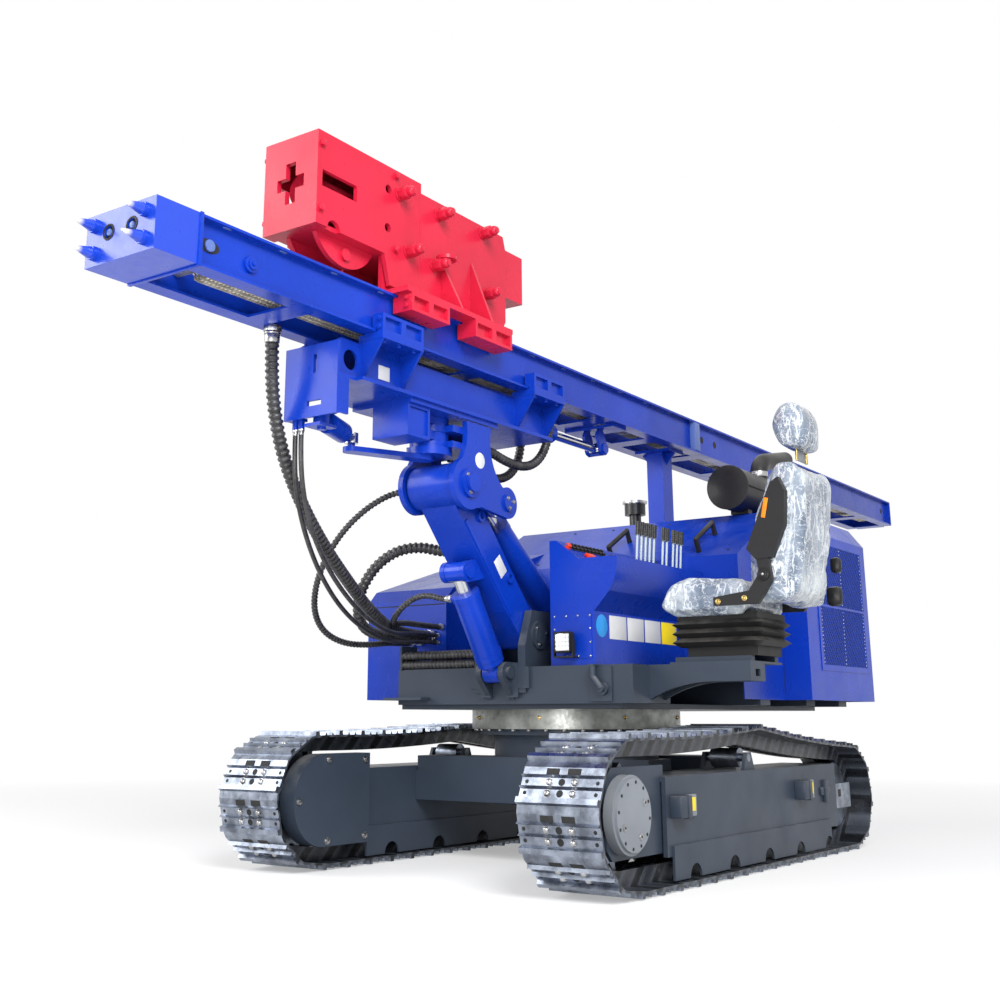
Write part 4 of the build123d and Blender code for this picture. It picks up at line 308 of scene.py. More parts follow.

# %% [markdown]
# The oily hoses are black plastic sleeve with a faint sheen. A hydraulic hose leaves its port
# straight, then hangs and bends under its own weight and ends in another port. A simulated cord
# would fall its own way, so each line is a smooth spline through a few given points, which follows
# the photograph. A thick sleeve is corrugated, and the thin hoses are smooth.

# %% Hose routes
# Each hose: diameter, corrugated or not, the bodies it joins, and the points of its route
HOSES = {
    "hose_mast": (0.056, True, "boom", "head", (
        (2.08, -0.112, 2.1597), (2.08, -0.112, 2.03), (2.045, -0.128, 1.85), (1.95, -0.16, 1.665),
        (1.785, -0.205, 1.495), (1.57, -0.27, 1.35), (1.33, -0.345, 1.23), (1.08, -0.43, 1.125),
        (0.85, -0.5, 1.06), (0.66, -0.535, 1.04), (0.4703, -0.535, 1.04),)),
    "hose_cradle_a": (0.02, False, "boom", "head", (
        (1.93, -0.112, 1.7647), (1.93, -0.112, 1.66), (1.905, -0.125, 1.54), (1.84, -0.15, 1.42),
        (1.73, -0.195, 1.305), (1.58, -0.255, 1.2), (1.4, -0.32, 1.11), (1.2, -0.385, 1.045),
        (0.99, -0.44, 1.005), (0.8, -0.48, 0.995), (0.64, -0.495, 1.01), (0.4703, -0.495, 1.01),)),
    "hose_cradle_b": (0.02, False, "boom", "head", (
        (1.93, -0.08, 1.7647), (1.93, -0.08, 1.65), (1.895, -0.092, 1.51), (1.81, -0.12, 1.375),
        (1.67, -0.165, 1.255), (1.49, -0.225, 1.16), (1.29, -0.295, 1.09), (1.09, -0.36, 1.045),
        (0.9, -0.425, 1.03), (0.74, -0.48, 1.04), (0.62, -0.495, 1.045), (0.4703, -0.495, 1.045),)),
    "hose_head": (0.030, True, "upper", "boom", (
        (1.11, -0.1853, 1.645), (1.11, -0.24, 1.645), (1.145, -0.3, 1.622), (1.2, -0.375, 1.56),
        (1.245, -0.455, 1.47), (1.26, -0.545, 1.35), (1.235, -0.625, 1.225), (1.165, -0.69, 1.115),
        (1.06, -0.72, 1.035), (0.93, -0.71, 0.992), (0.79, -0.68, 0.99), (0.64, -0.66, 1.01),
        (0.4703, -0.66, 1.01),)),
    "hose_boom": (0.052, True, "upper", "boom", (
        (0.85, -0.0953, 1.395), (0.85, -0.185, 1.395), (0.885, -0.29, 1.425), (0.95, -0.39, 1.405),
        (1.005, -0.475, 1.325), (1.02, -0.545, 1.21), (0.975, -0.59, 1.1), (0.87, -0.607, 1.04),
        (0.69, -0.6, 1.03), (0.4703, -0.6, 1.03),)),
    "hose_lift": (0.028, True, "upper", "lift_barrel", (
        (0.917, -0.0803, 1.17), (0.917, -0.135, 1.17), (0.93, -0.195, 1.19), (0.945, -0.255, 1.188),
        (0.955, -0.315, 1.16), (0.95, -0.375, 1.115), (0.915, -0.425, 1.085), (0.85, -0.46, 1.08),
        (0.76, -0.472, 1.09), (0.63, -0.475, 1.085), (0.4703, -0.475, 1.085),)),
    "hose_rear_left": (0.044, True, "head", "cradle", (
        (0.33, 0.085, 2.1597), (0.33, 0.085, 2.075), (0.352, 0.082, 1.975), (0.405, 0.08, 1.89),
        (0.49, 0.078, 1.83), (0.6, 0.075, 1.808), (0.72, 0.072, 1.818), (0.84, 0.07, 1.845),
        (0.9597, 0.07, 1.845),)),
    "hose_rear_right": (0.044, True, "head", "cradle", (
        (0.33, -0.085, 2.1597), (0.33, -0.085, 2.065), (0.345, -0.082, 1.955), (0.39, -0.08, 1.86),
        (0.47, -0.078, 1.795), (0.58, -0.076, 1.765), (0.7, -0.073, 1.775), (0.83, -0.07, 1.815),
        (0.9597, -0.07, 1.815),)),
}
# The four hoses that lie across the deck's front, in two layers with a slight wave
BUNDLE_X, BUNDLE_Z = 0.622, 0.8965
BUNDLE_STEPS = (-0.1416, -0.25, -0.36, -0.47, -0.5744)
BUNDLE_LAY = ((-0.0215, 0.0, 0.0005), (0.0215, 0.0, 0.0),
              (-0.0215, 0.0430, 0.001), (0.0215, 0.0430, 0.001))
BUNDLE_HOSES = {
    f"hose_bundle_{number}": (0.042, True, "upper", "", tuple(
        (BUNDLE_X + across, y, BUNDLE_Z + rise + (wave if step % 2 else 0.0))
        for step, y in enumerate(BUNDLE_STEPS)))
    for number, (across, rise, wave) in enumerate(BUNDLE_LAY, 1)
}
print("hoses", len(HOSES) + len(BUNDLE_HOSES))

# %% [markdown]
# A spline is smooth, but its points lie unevenly. Blender draws the curve once, and its line is
# then walked in steps of any length, so rings can be set where the sleeve's ribs need them.

# %% Lines of the hoses


def spline_points(route):
    """The smooth line of a route, as Blender draws its NURBS curve."""
    curve = bpy.data.curves.new("route", "CURVE")
    curve.dimensions = "3D"
    curve.resolution_u = 24
    spline = curve.splines.new("NURBS")
    spline.points.add(len(route) - 1)
    for point, place in zip(spline.points, route):
        point.co = (*place, 1.0)
    spline.order_u = 3
    spline.use_endpoint_u = True
    holder = bpy.data.objects.new("route", curve)
    bpy.context.scene.collection.objects.link(holder)
    drawn = holder.evaluated_get(bpy.context.evaluated_depsgraph_get())
    line = bpy.data.meshes.new_from_object(drawn)
    points = [vertex.co.copy() for vertex in line.vertices]
    bpy.data.objects.remove(holder)
    return points


def line_length(points):
    return sum((b - a).length for a, b in zip(points, points[1:]))


def walk(points, steps):
    """Places at given distances along a line of points."""
    found, start, gone = [], 0, 0.0
    for step in steps:
        while start < len(points) - 2 and gone + (points[start + 1] - points[start]).length < step:
            gone += (points[start + 1] - points[start]).length
            start += 1
        side = points[start + 1] - points[start]
        found.append(points[start] + side * min(1.0, (step - gone) / side.length))
    return found


# %% [markdown]
# A curve with a round bevel would give a smooth tube in one step, but no ribs. So the mesh is a row
# of rings round the line. A smooth hose has a ring at each even step, and a corrugated one has five
# in each rib, which swell and narrow, so that the ribs are real shape and catch light.

# %% Tube of rings
# Each ring of a rib: its place in the rib, and whether it lies on the ridge
SLEEVE_RINGS = ((0.00, True), (0.24, True), (0.42, False), (0.78, False), (0.95, True))
GROOVE = 0.1                           # of the sleeve's diameter
RIB_LENGTH, RIB_GROWTH = 0.012, 0.24   # a rib's length on a thin sleeve, and its growth with it
SMOOTH_STEP = 0.012


def tube_mesh(name, points, diameter, ribbed, sides=20):
    """Rings of points round a line, joined into a tube with closed ends."""
    length = line_length(points)
    if ribbed:
        count = max(1, round(length / (RIB_LENGTH + RIB_GROWTH * diameter)))
        pitch = length / count
        rings = [((number + share) * pitch, diameter / 2 - (0 if full else GROOVE * diameter))
                 for number in range(count) for share, full in SLEEVE_RINGS]
    else:
        count = max(8, round(length / SMOOTH_STEP))
        rings = [(length * number / count, diameter / 2) for number in range(count)]
    rings.append((length, diameter / 2))
    centres = walk(points, [step for step, radius in rings])
    corners, faces = [], []
    side = (centres[1] - centres[0]).orthogonal().normalized()
    for number, (centre, (step, radius)) in enumerate(zip(centres, rings)):
        ahead = centres[min(number + 1, len(centres) - 1)] - centres[max(number - 1, 0)]
        ahead = ahead.normalized()
        side = (side - ahead * side.dot(ahead)).normalized()
        other = ahead.cross(side)
        for turn in range(sides):
            angle = 2 * math.pi * turn / sides
            corners.append(centre + (side * math.cos(angle) + other * math.sin(angle)) * radius)
    for first in range(0, (len(centres) - 1) * sides, sides):
        for turn in range(sides):
            after = (turn + 1) % sides
            faces.append((first + turn, first + after, first + sides + after, first + sides + turn))
    faces.append(tuple(reversed(range(sides))))
    faces.append(tuple(range((len(centres) - 1) * sides, len(centres) * sides)))
    mesh = bpy.data.meshes.new(name)
    mesh.from_pydata(corners, [], faces)
    tube = bpy.data.objects.new(name, mesh)
    bpy.context.scene.collection.objects.link(tube)
    for polygon in mesh.polygons:
        polygon.use_smooth = len(polygon.vertices) == 4
    return tube, length


# %% [markdown]
# Every hose gets its tube and replaces the plain one of the CAD model. A hose that crosses the
# joints could ride on one body, but it would tear off at its other end, so it rides on no body, with
# its place baked into its mesh; a hose between parts of one body rides on that body.

# %% Hoses
sleeve, tree = node_tree("hose_sleeve")
ribs = ramp(tree, noise(tree, 26.0, 4.0), ((0.35, (0.010, 0.010, 0.011)), (0.8, (0.045, 0.045, 0.048))))
shaded(tree, ribs, uneven(tree, 50.0, 0.30, 0.50), bump(tree, noise(tree, 300.0), 0.1, 0.0006))

for name, (diameter, ribbed, first_body, last_body, route) in {**HOSES, **BUNDLE_HOSES}.items():
    line = spline_points(route)
    tube, length = tube_mesh(f"{name}_sleeve", line, diameter, ribbed)
    tube.data.materials.append(sleeve)
    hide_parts(name if name in nodes else "hose_bundle")
    if last_body:
        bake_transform(tube)
    else:
        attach(tube, first_body)
    print(name, "length", round(length, 3), "faces", len(tube.data.polygons))

# %% [markdown]
# The rig stands on a plain pale floor that fades into the background. A white backdrop could be lit
# from the front, but that much light would wash out the paint. Here the floor's material glows
# white only where a ray comes from the camera, a reflection or a clear surface, more with the
# distance, and it still takes the shadow near the rig.

# %% Floor
WHITE = (1.0, 1.0, 1.0)
GLOW_REACH = (3.0, 9.0)                # metres from the rig where the glow starts to grow, and is full
GLOW_NEAR = 0.35                       # its share near the rig
bpy.context.scene.view_settings.view_transform = "Standard"
bpy.ops.mesh.primitive_plane_add(size=120.0, location=(0, 0, 0))
floor = bpy.context.object
floor.name = "floor"
floor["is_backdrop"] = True


def seen_ray(tree):
    """One where a ray comes from the camera, a reflection or a clear surface."""
    rays = add_node(tree, "LightPath").outputs
    mirrored = maths(tree, "MAXIMUM", rays["Is Camera Ray"], rays["Is Glossy Ray"])
    return maths(tree, "MAXIMUM", mirrored, rays["Is Transmission Ray"])


floor_material, tree = node_tree("pale_floor")
matt = add_node(tree, "BsdfDiffuse", {"Color": (0.90, 0.90, 0.90)})
glow = add_node(tree, "Emission", {"Color": WHITE, "Strength": 1.0})
reach = add_node(tree, "VectorMath", {0: object_place(tree)}, operation="LENGTH").outputs["Value"]
seen = maths(tree, "MULTIPLY", seen_ray(tree), spread(tree, reach, *GLOW_REACH, GLOW_NEAR, 1.0))
floor_mix = add_node(tree, "MixShader", {0: seen, 1: matt.outputs[0], 2: glow.outputs[0]})
add_node(tree, "OutputMaterial", {"Surface": floor_mix.outputs[0]})
floor.data.materials.append(floor_material)
print("floor", floor.dimensions.x, "m across")

# %% [markdown]
# The sky lights the rig softly from all round, as on a cloudy day. A picture of a real sky would
# tint the paint, so it is plain white: weaker where it lights the rig, and full white where it is
# seen.

# %% Sky
world = bpy.data.worlds.new("white_sky")
world.use_nodes = True
bpy.context.scene.world = world
tree = world.node_tree
sky = tree.nodes["Background"]
sky.inputs["Color"].default_value = (*WHITE, 1.0)
sky.inputs["Strength"].default_value = 0.55
bright = add_node(tree, "Background", {"Color": WHITE, "Strength": 1.0})
sky_mix = add_node(tree, "MixShader", {0: seen_ray(tree), 1: sky.outputs[0], 2: bright.outputs[0]})
tree.links.new(sky_mix.outputs[0], tree.nodes["World Output"].inputs["Surface"])
print("sky", world.name, "with", len(tree.nodes), "nodes")

# %% [markdown]
# Light from the sky alone leaves no form in a dark blue hood. Three broad lamps give the edges
# their gleam: a big one high on the left front, a weaker one on the right, and a low one in front
# for the mast's underside. Small lamps would draw hard shadows that the photograph doesn't have.

# %% Lamps
# Each lamp: name, place, aim, size and power in watts
LAMPS = (
    ("key_lamp", (6.5, 7.5, 7.0), (0.0, 0.0, 1.2), 5.0, 1430.0),
    ("side_lamp", (6.0, -6.0, 4.5), (0.3, 0.0, 1.2), 5.0, 430.0),
    ("low_lamp", (7.0, 2.5, 0.9), (0.5, 0.0, 1.0), 3.0, 200.0),
)
for name, place, aim, size, power in LAMPS:
    lamp_data = bpy.data.lights.new(name, "AREA")
    lamp_data.size = size
    lamp_data.energy = power
    lamp = bpy.data.objects.new(name, lamp_data)
    lamp.location = place
    lamp.rotation_euler = (Vector(place) - Vector(aim)).to_track_quat("Z", "Y").to_euler()
    bpy.context.scene.collection.objects.link(lamp)
print("lamps", len(LAMPS))

# %% [markdown]
# A modifier could stay live on its piece, but a finished piece has a plain mesh, so modifiers are
# applied at once. An operator acts on all that is selected and a modifier on the active piece, so
# one piece at a time is picked before anything is done to it.

# %% Work on one piece


def pick(piece):
    """Makes a piece the active one, and the only one that is selected."""
    clear_selection()
    piece.select_set(True)
    bpy.context.view_layer.objects.active = piece


def applied(kind, **settings):
    """A modifier on the active piece, applied at once."""
    modifier = bpy.context.object.modifiers.new(kind.lower(), kind)
    for setting, value in settings.items():
        setattr(modifier, setting, value)
    bpy.ops.object.modifier_apply(modifier=modifier.name)


def rounded(width, segments=2):
    """A bevel on the active piece's sharp edges."""
    applied("BEVEL", width=width, segments=segments, limit_method="ANGLE",
            angle_limit=math.radians(35.0))


def edit_faces(numbers):
    """Opens the active piece for editing, with just these faces selected."""
    bpy.ops.object.mode_set(mode="EDIT")
    bpy.ops.mesh.select_mode(type="FACE")
    bpy.ops.mesh.select_all(action="DESELECT")
    bpy.ops.object.mode_set(mode="OBJECT")
    for number in numbers:
        bpy.context.object.data.polygons[number].select = True
    bpy.ops.object.mode_set(mode="EDIT")


# %% [markdown]
# Small hardware is made of a few plain shapes, lying at the origin with the foot at zero and the
# head towards +Z. A real head has no sharp edge, so each shape gets a narrow bevel, which draws a
# thin line of light round it.

# %% Plain shapes


def disc(radius, low, high, sides=24, bevel=0.0, place=(0, 0), top=1.0):
    """A round or many-sided stub from low to high, narrowed at its top, with a bevelled rim."""
    clear_selection()
    bpy.ops.mesh.primitive_cylinder_add(vertices=sides, radius=radius, depth=high - low,
                                        location=(*place, (low + high) / 2))
    if top != 1.0:
        edit_faces([face.index for face in bpy.context.object.data.polygons if face.normal.z > 0.9])
        bpy.ops.transform.resize(value=(top, top, 1.0))
        bpy.ops.object.mode_set(mode="OBJECT")
    if bevel:
        rounded(bevel)
    return bpy.context.object


def box(xs, ys, zs, bevel=0.0):
    """A box between two values on each axis, with bevelled edges."""
    clear_selection()
    centre = [(low + high) / 2 for low, high in (xs, ys, zs)]
    bpy.ops.mesh.primitive_cube_add(size=1.0, location=centre)
    bpy.context.object.scale = [abs(high - low) for low, high in (xs, ys, zs)]
    bpy.ops.object.transform_apply(location=False, rotation=False, scale=True)
    if bevel:
        rounded(bevel)
    return bpy.context.object


def plate(width, height, thickness=0.0008, bevel=0.0003):
    """A thin sheet, lying at the origin with its back at zero."""
    return box((-width / 2, width / 2), (-height / 2, height / 2), (0.0, thickness), bevel)


def dome(radius, base, height, sides=20, place=(0, 0)):
    """A rounded cap: half a ball, flattened to its height, closed below."""
    clear_selection()
    bpy.ops.mesh.primitive_uv_sphere_add(segments=sides, ring_count=10, radius=radius,
                                         location=(*place, 0.0))
    bpy.ops.object.mode_set(mode="EDIT")
    bpy.ops.mesh.select_all(action="SELECT")
    bpy.ops.mesh.bisect(plane_co=(0, 0, 0.0001), plane_no=(0, 0, 1), clear_inner=True, use_fill=True)
    bpy.ops.object.mode_set(mode="OBJECT")
    bpy.context.object.scale = (1, 1, height / radius)
    bpy.context.object.location.z = base
    bpy.ops.object.transform_apply(location=False, rotation=False, scale=True)
    return bpy.context.object


# %% [markdown]
# A bolt could be modelled again at each of its places, but it is modelled once. Copies with their
# own meshes are then stood on the faces that carry them, each turned to the way that the face
# looks, and made one piece.

# %% Copies in their places


def joined(parts):
    """Several pieces made one, with its place in its mesh."""
    pick(parts[0])
    for part in parts:
        part.select_set(True)
    if len(parts) > 1:
        bpy.ops.object.join()
    bpy.ops.object.transform_apply(location=True, rotation=True, scale=True)
    return bpy.context.object


def stand(place, facing, turn=0.0, size=1.0):
    """Where a copy stands: its foot's place, the way that its head points, its turn and its size."""
    square = Vector(facing).to_track_quat("Z", "Y").to_matrix().to_4x4()
    return (Matrix.Translation(Vector(place)) @ square @ Matrix.Rotation(turn, 4, "Z")
            @ Matrix.Scale(size, 4))


def both_sides(x, y, z, turn=0.0, size=1.0, outward=1):
    """The same place on the rig's right and left, facing outwards."""
    return [stand((x, side * y, z), (0, side * outward, 0), turn, size) for side in (-1, 1)]


def copies(model, places):
    """One piece made of copies of a model, each in its place; the model goes."""
    made = []
    for place in places:
        pick(model)
        bpy.ops.object.duplicate()
        bpy.context.object.matrix_world = place
        made.append(bpy.context.object)
    bpy.data.objects.remove(model)
    return joined(made)


# %% [markdown]
# Each finished piece gets a name, a material, and the body that it rides on when the rig moves;
# without a material of its own it takes its slot's. Loose bolts could be left as hundreds of objects,
# but a piece of many copies is easier to find, to paint and to replace.

# %% Finished pieces
# Where hardware belongs: the body that it rides on, and the material slot that it counts to
SHOES = ("undercarriage", "track_steel")
TRACK_FRAME = ("undercarriage", "slate_paint")
COVERS = ("undercarriage", "grey_paint")
UPPER_BLUE = ("upper", "royal_blue_paint")
UPPER_BLACK = ("upper", "black_paint")
UPPER_STEEL = ("upper", "bare_steel")
UPPER_PLASTIC = ("upper", "black_plastic")
SEAT = ("upper", "seat_vinyl")
MAST = ("mast", "royal_blue_paint")
HAMMER = ("hammer", "red_paint")


def finished(name, home, shapes, places=(), material=None, replaced=(), smooth=35.0):
    """One named piece of some shapes, copied to its places if it has any, that rides on its body."""
    body, slot = home
    piece = joined(shapes)
    if places:
        piece = copies(piece, places)
    if smooth:
        bpy.ops.object.shade_smooth_by_angle(angle=math.radians(smooth))
    piece.name = name
    piece.data.materials.clear()
    piece.data.materials.append(material or materials[slot])
    if replaced:
        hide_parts(*replaced)
    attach(piece, body)
    print(name, "faces", len(piece.data.polygons))
    return piece


# Holes, gaps, sockets and open mouths are closed by thin discs and strips of this near-black material:
# painted shade of what lies inside them.
painted_shade, tree = node_tree("painted_shade")
shaded(tree, uneven(tree, 60.0, 0.004, 0.016), 0.8)
bolt_steel = metal("bolt_steel", (0.50, 0.50, 0.50), 0.30, 90.0, 0.6)
brass = metal("brass", (0.62, 0.44, 0.16), 0.25, 80.0, 0.7)

# %% [markdown]
# Each hose ends in a crimped steel collar and a hexagonal nut that screws onto the port. They could
# be drawn for every hose size. As their proportions stay the same, they are modelled for a hose one
# metre thick and shrunk to each hose, and turned to the way that its port looks.

# %% Hose fittings
UPPER_ENDS = {"hose_mast": "mast", "hose_cradle_a": "cradle", "hose_cradle_b": "cradle",
              "hose_rear_left": "mast", "hose_rear_right": "mast"}
fitting_places = {}
for name, (diameter, ribbed, first_body, last_body, route) in HOSES.items():
    upper_body = UPPER_ENDS.get(name, last_body)
    lower_body = "upper" if first_body == "boom" else first_body
    for body, port, inward in ((upper_body, route[0], route[1]), (lower_body, route[-1], route[-2])):
        facing = Vector(inward) - Vector(port)
        fitting_places.setdefault(body, []).append(stand(port, facing, 0.3, diameter))
for body, places in fitting_places.items():
    nut = disc(0.66, 0.0, 0.42, 6, 0.05)
    collar = disc(0.60, 0.42, 0.62, 20, 0.06)
    crimp = disc(0.55, 0.60, 1.25, 16, 0.05, top=0.96)
    finished(f"hose_fittings_{body}", (body, "bare_steel"), [nut, collar, crimp], places, bolt_steel)

# %% [markdown]
# A track shoe is bolted to its link by four round-headed bolts, and mud falls out through holes
# between them. The forty places could be measured on the CAD track one by one. They come from the
# closed line that the chain's pins follow instead: the ground, the sprocket, the sagging top run
# over its roller, and the idler. Steps along that line give each shoe's place and turn.

# %% Places of the shoes
SHOE_COUNT = 40
PLATE_TOP = 0.039                      # the shoe plate's height over the pin line
TRACK_CENTRE = 0.785
SPROCKET = (1.170, 0.300, 0.240)       # x, z and radius of the pin line
IDLER = (-1.195, 0.264, 0.207)
CARRIER = (-0.020, 0.569)
RUN_SAG = 0.014


def arc(centre, start, sweep, steps=120):
    """Points from one end of an arc to the other, angles in degrees."""
    x, z, radius = centre
    angles = [math.radians(start + sweep * step / steps) for step in range(steps + 1)]
    return [(x + radius * math.cos(angle), z + radius * math.sin(angle)) for angle in angles]


def sagging(start, end, steps=60):
    """Points between two ends of a run that hangs down in the middle."""
    return [(start[0] + (end[0] - start[0]) * step / steps,
             start[1] + (end[1] - start[1]) * step / steps
             - 4 * RUN_SAG * (step / steps) * (1 - step / steps)) for step in range(1, steps)]


slopes = [math.degrees(math.atan2(CARRIER[1] - wheel[1] - wheel[2], abs(wheel[0] - CARRIER[0])))
          for wheel in (SPROCKET, IDLER)]
front_arc = arc(SPROCKET, -90, 180 - slopes[0])
rear_arc = arc(IDLER, 90 + slopes[1], 180 - slopes[1])
top_run = sagging(front_arc[-1], CARRIER) + [CARRIER] + sagging(CARRIER, rear_arc[0])
loop = [Vector((x, 0.0, z)) for x, z in rear_arc[-1:] + front_arc + top_run + rear_arc]
pins = walk(loop, [line_length(loop) * number / SHOE_COUNT for number in range(SHOE_COUNT)])
shoe_pitch = (pins[0] - pins[-1]).length


def shoe_frames(side):
    """A place on every shoe: its foot on the plate at the joint, heads outwards, X along the shoe."""
    found = []
    for start, end in zip(pins, pins[1:] + pins[:1]):
        along = (end - start).normalized()
        out = Vector((along.z, 0.0, -along.x))
        turn = Matrix((along, out.cross(along), out)).transposed().to_4x4()
        place = start + out * PLATE_TOP + Vector((0.0, side * TRACK_CENTRE, 0.0))
        found.append(Matrix.Translation(place) @ turn)
    return found


print("shoe pitch", round(shoe_pitch, 4))

# %% [markdown]
# One shoe's bolts and holes are modelled on its plate and copied onto all forty. A hole could be
# cut by a boolean in every shoe, but a thin disc of painted shade that lies just above the plate
# looks the same at this size and has few faces. The notches at the shoe's end, which let the next
# link pass, are thin plates of painted shade too.

# %% Bolts and holes of the shoes
SHOE_FACE = (-0.002, 0.0007)           # a hole's dark disc, from in the plate to just above it
notch = 0.90 * shoe_pitch
for side_name, side in (("left", 1), ("right", -1)):
    heads, holes = [], []
    for along in (0.335 * shoe_pitch, 0.62 * shoe_pitch):
        for across in (-0.054, 0.054):
            heads.append(dome(0.0135, 0.0015, 0.010, 12, (along, across)))
            heads.append(disc(0.0155, -0.002, 0.0018, 12, 0.0, (along, across)))
        for across, size in ((0.0, 0.014), (-0.152, 0.0075), (0.152, 0.0075)):
            holes.append(disc(size, *SHOE_FACE, 16, 0.0, (along, across)))
    for across in (-0.046, 0.046):
        holes.append(box((notch - 0.017, notch + 0.010), (across - 0.028, across + 0.028), SHOE_FACE))
    places = shoe_frames(side)
    finished(f"shoe_bolts_{side_name}", SHOES, heads, places, bolt_steel)
    finished(f"shoe_holes_{side_name}", SHOES, holes, places, painted_shade)

# %% [markdown]
# The feed chain is a double-row steel chain that runs round a wheel at each end of the mast. Links
# could be set along a curve, but both runs are straight, so one link is modelled, two rollers
# between six plates, and an array repeats it along each run. The wheels' teeth are every second
# face of a disc's rim, pushed out.

# %% Feed chain
CHAIN_RUN = (-4.560, 2.560)            # x of both wheels' axles
CHAIN_MIDDLE = 2.255
WHEEL_R = 0.051
WHEEL_TEETH_HEIGHT = 0.011
LINK_PITCH = 0.04
PLATES = ((-0.034, 0), (-0.028, 1), (-0.0032, 0), (0.0032, 1), (0.028, 0), (0.034, 1))
runs = []
for height in (CHAIN_MIDDLE - WHEEL_R, CHAIN_MIDDLE + WHEEL_R):
    parts = []
    for y, shifted in PLATES:
        start = CHAIN_RUN[0] + shifted * LINK_PITCH / 2
        parts.append(box((start - 0.012, start + 0.032), (y - 0.0015, y + 0.0015),
                         (height - 0.010, height + 0.010), 0.004))
    for step in (0.0, LINK_PITCH / 2):
        clear_selection()
        bpy.ops.mesh.primitive_cylinder_add(vertices=10, radius=0.0062, depth=0.076,
                                            location=(CHAIN_RUN[0] + step, 0, height),
                                            rotation=(math.pi / 2, 0, 0))
        rounded(0.001, 1)
        parts.append(bpy.context.object)
    runs.append(joined(parts))
    applied("ARRAY", count=round((CHAIN_RUN[1] - CHAIN_RUN[0]) / LINK_PITCH), use_relative_offset=False,
            use_constant_offset=True, constant_offset_displace=(LINK_PITCH, 0, 0))
for x in CHAIN_RUN:
    for y in (-0.0156, 0.0156):
        wheel = disc(0.042, -0.004, 0.004, 30, 0.001)
        rim = [face.index for face in wheel.data.polygons if abs(face.normal.z) < 0.2]
        edit_faces(rim[::2])
        bpy.ops.mesh.extrude_faces_move(TRANSFORM_OT_shrink_fatten={"value": WHEEL_TEETH_HEIGHT})
        bpy.ops.object.mode_set(mode="OBJECT")
        wheel.matrix_world = stand((x, y, CHAIN_MIDDLE), (0, 1, 0))
        runs.append(wheel)
    axle = disc(0.024, -0.137, 0.137, 24, 0.003)
    axle.matrix_world = stand((x, 0, CHAIN_MIDDLE), (0, 1, 0))
    runs.append(axle)
chain_steel = metal("chain_steel", (0.66, 0.62, 0.54), 0.34, 120.0, 0.55, 0.7)
finished("feed_chain_links", ("mast", "bare_steel"), runs, (), chain_steel, ("feed_chain",))

# %% [markdown]
# Through studs hold the hammer's side plates. Each ends in a thick washer and a domed cap nut. Four
# smaller hexagonal heads on each side sit near the edges, and a weld joins the front box to the
# rest. No thread shows, so a nut is a stack of bevelled stubs with half a ball on top, rather than
# a threaded part.

# %% Hammer nuts
HAMMER_FRONT = 2.125
HAMMER_SIDE = 0.145
HAMMER_MIDDLE = 2.729
WELD = (HAMMER_FRONT - 0.662, HAMMER_FRONT - 0.656)
# Studs and small bolts: distance back from the hammer's front, rise over its middle
STUDS = ((0.515, 0.096), (0.790, 0.094), (1.131, 0.117),
         (0.576, -0.146), (0.760, -0.154), (1.153, -0.176))
SMALL_BOLTS = ((0.022, 0.143), (0.022, -0.134), (0.487, 0.170), (0.487, -0.163))


def hammer_places(rows, turn):
    return [place for back, rise in rows
            for place in both_sides(HAMMER_FRONT - back, HAMMER_SIDE, HAMMER_MIDDLE + rise, turn)]


cap_nut = [disc(0.031, 0.0, 0.007, 24, 0.0015), disc(0.030, 0.007, 0.052, 6, 0.003),
           disc(0.0235, 0.052, 0.066, 20), dome(0.0235, 0.066, 0.0205)]
finished("hammer_cap_nuts", HAMMER, cap_nut, hammer_places(STUDS, 0.35))
small_head = [disc(0.018, 0.0, 0.003, 20), disc(0.0145, 0.003, 0.017, 6, 0.0015)]
finished("hammer_bolts", HAMMER, small_head, hammer_places(SMALL_BOLTS, 0.2))
weld = box(WELD, (-HAMMER_SIDE - 0.0015, HAMMER_SIDE + 0.0015), (2.5315, 2.9265), 0.001)
finished("hammer_weld", HAMMER, [weld])

# %% [markdown]
# The drive covers carry twelve small socket screws near the rim and three filler plugs. The motor
# covers inside the tracks have five bolts each. A polar array could set out the ring of screws. A
# function that steps round a circle does it too, and the same one serves the slewing ring below.

# %% Undercarriage screws
DRIVE_X, DRIVE_Z = SPROCKET[:2]
COVER_FACE = TRACK_CENTRE + 0.1665
MOTOR_FACE = TRACK_CENTRE - 0.198
COVER_SCREWS_R = 0.119
PLUGS = ((-0.081, 0.042), (0.078, -0.040), (-0.044, -0.078))
MOTOR_BOLTS = ((-0.27, 0.165), (-0.27, -0.165), (-0.02, 0.172), (-0.02, -0.172), (0.165, 0.0))


def round_a_ring(count, first, radius=1.0):
    """Steps round a circle, as pairs of sideways and upward shifts; the first angle in degrees."""
    angles = [math.radians(360 / count * number + first) for number in range(count)]
    return [(radius * math.cos(angle), radius * math.sin(angle)) for angle in angles]


def drive_places(shifts, face, outward=1):
    return [place for across, rise in shifts
            for place in both_sides(DRIVE_X + across, face, DRIVE_Z + rise, outward=outward)]


cover_places = drive_places(round_a_ring(12, 8, COVER_SCREWS_R), COVER_FACE)
plug_places = drive_places(PLUGS, COVER_FACE)
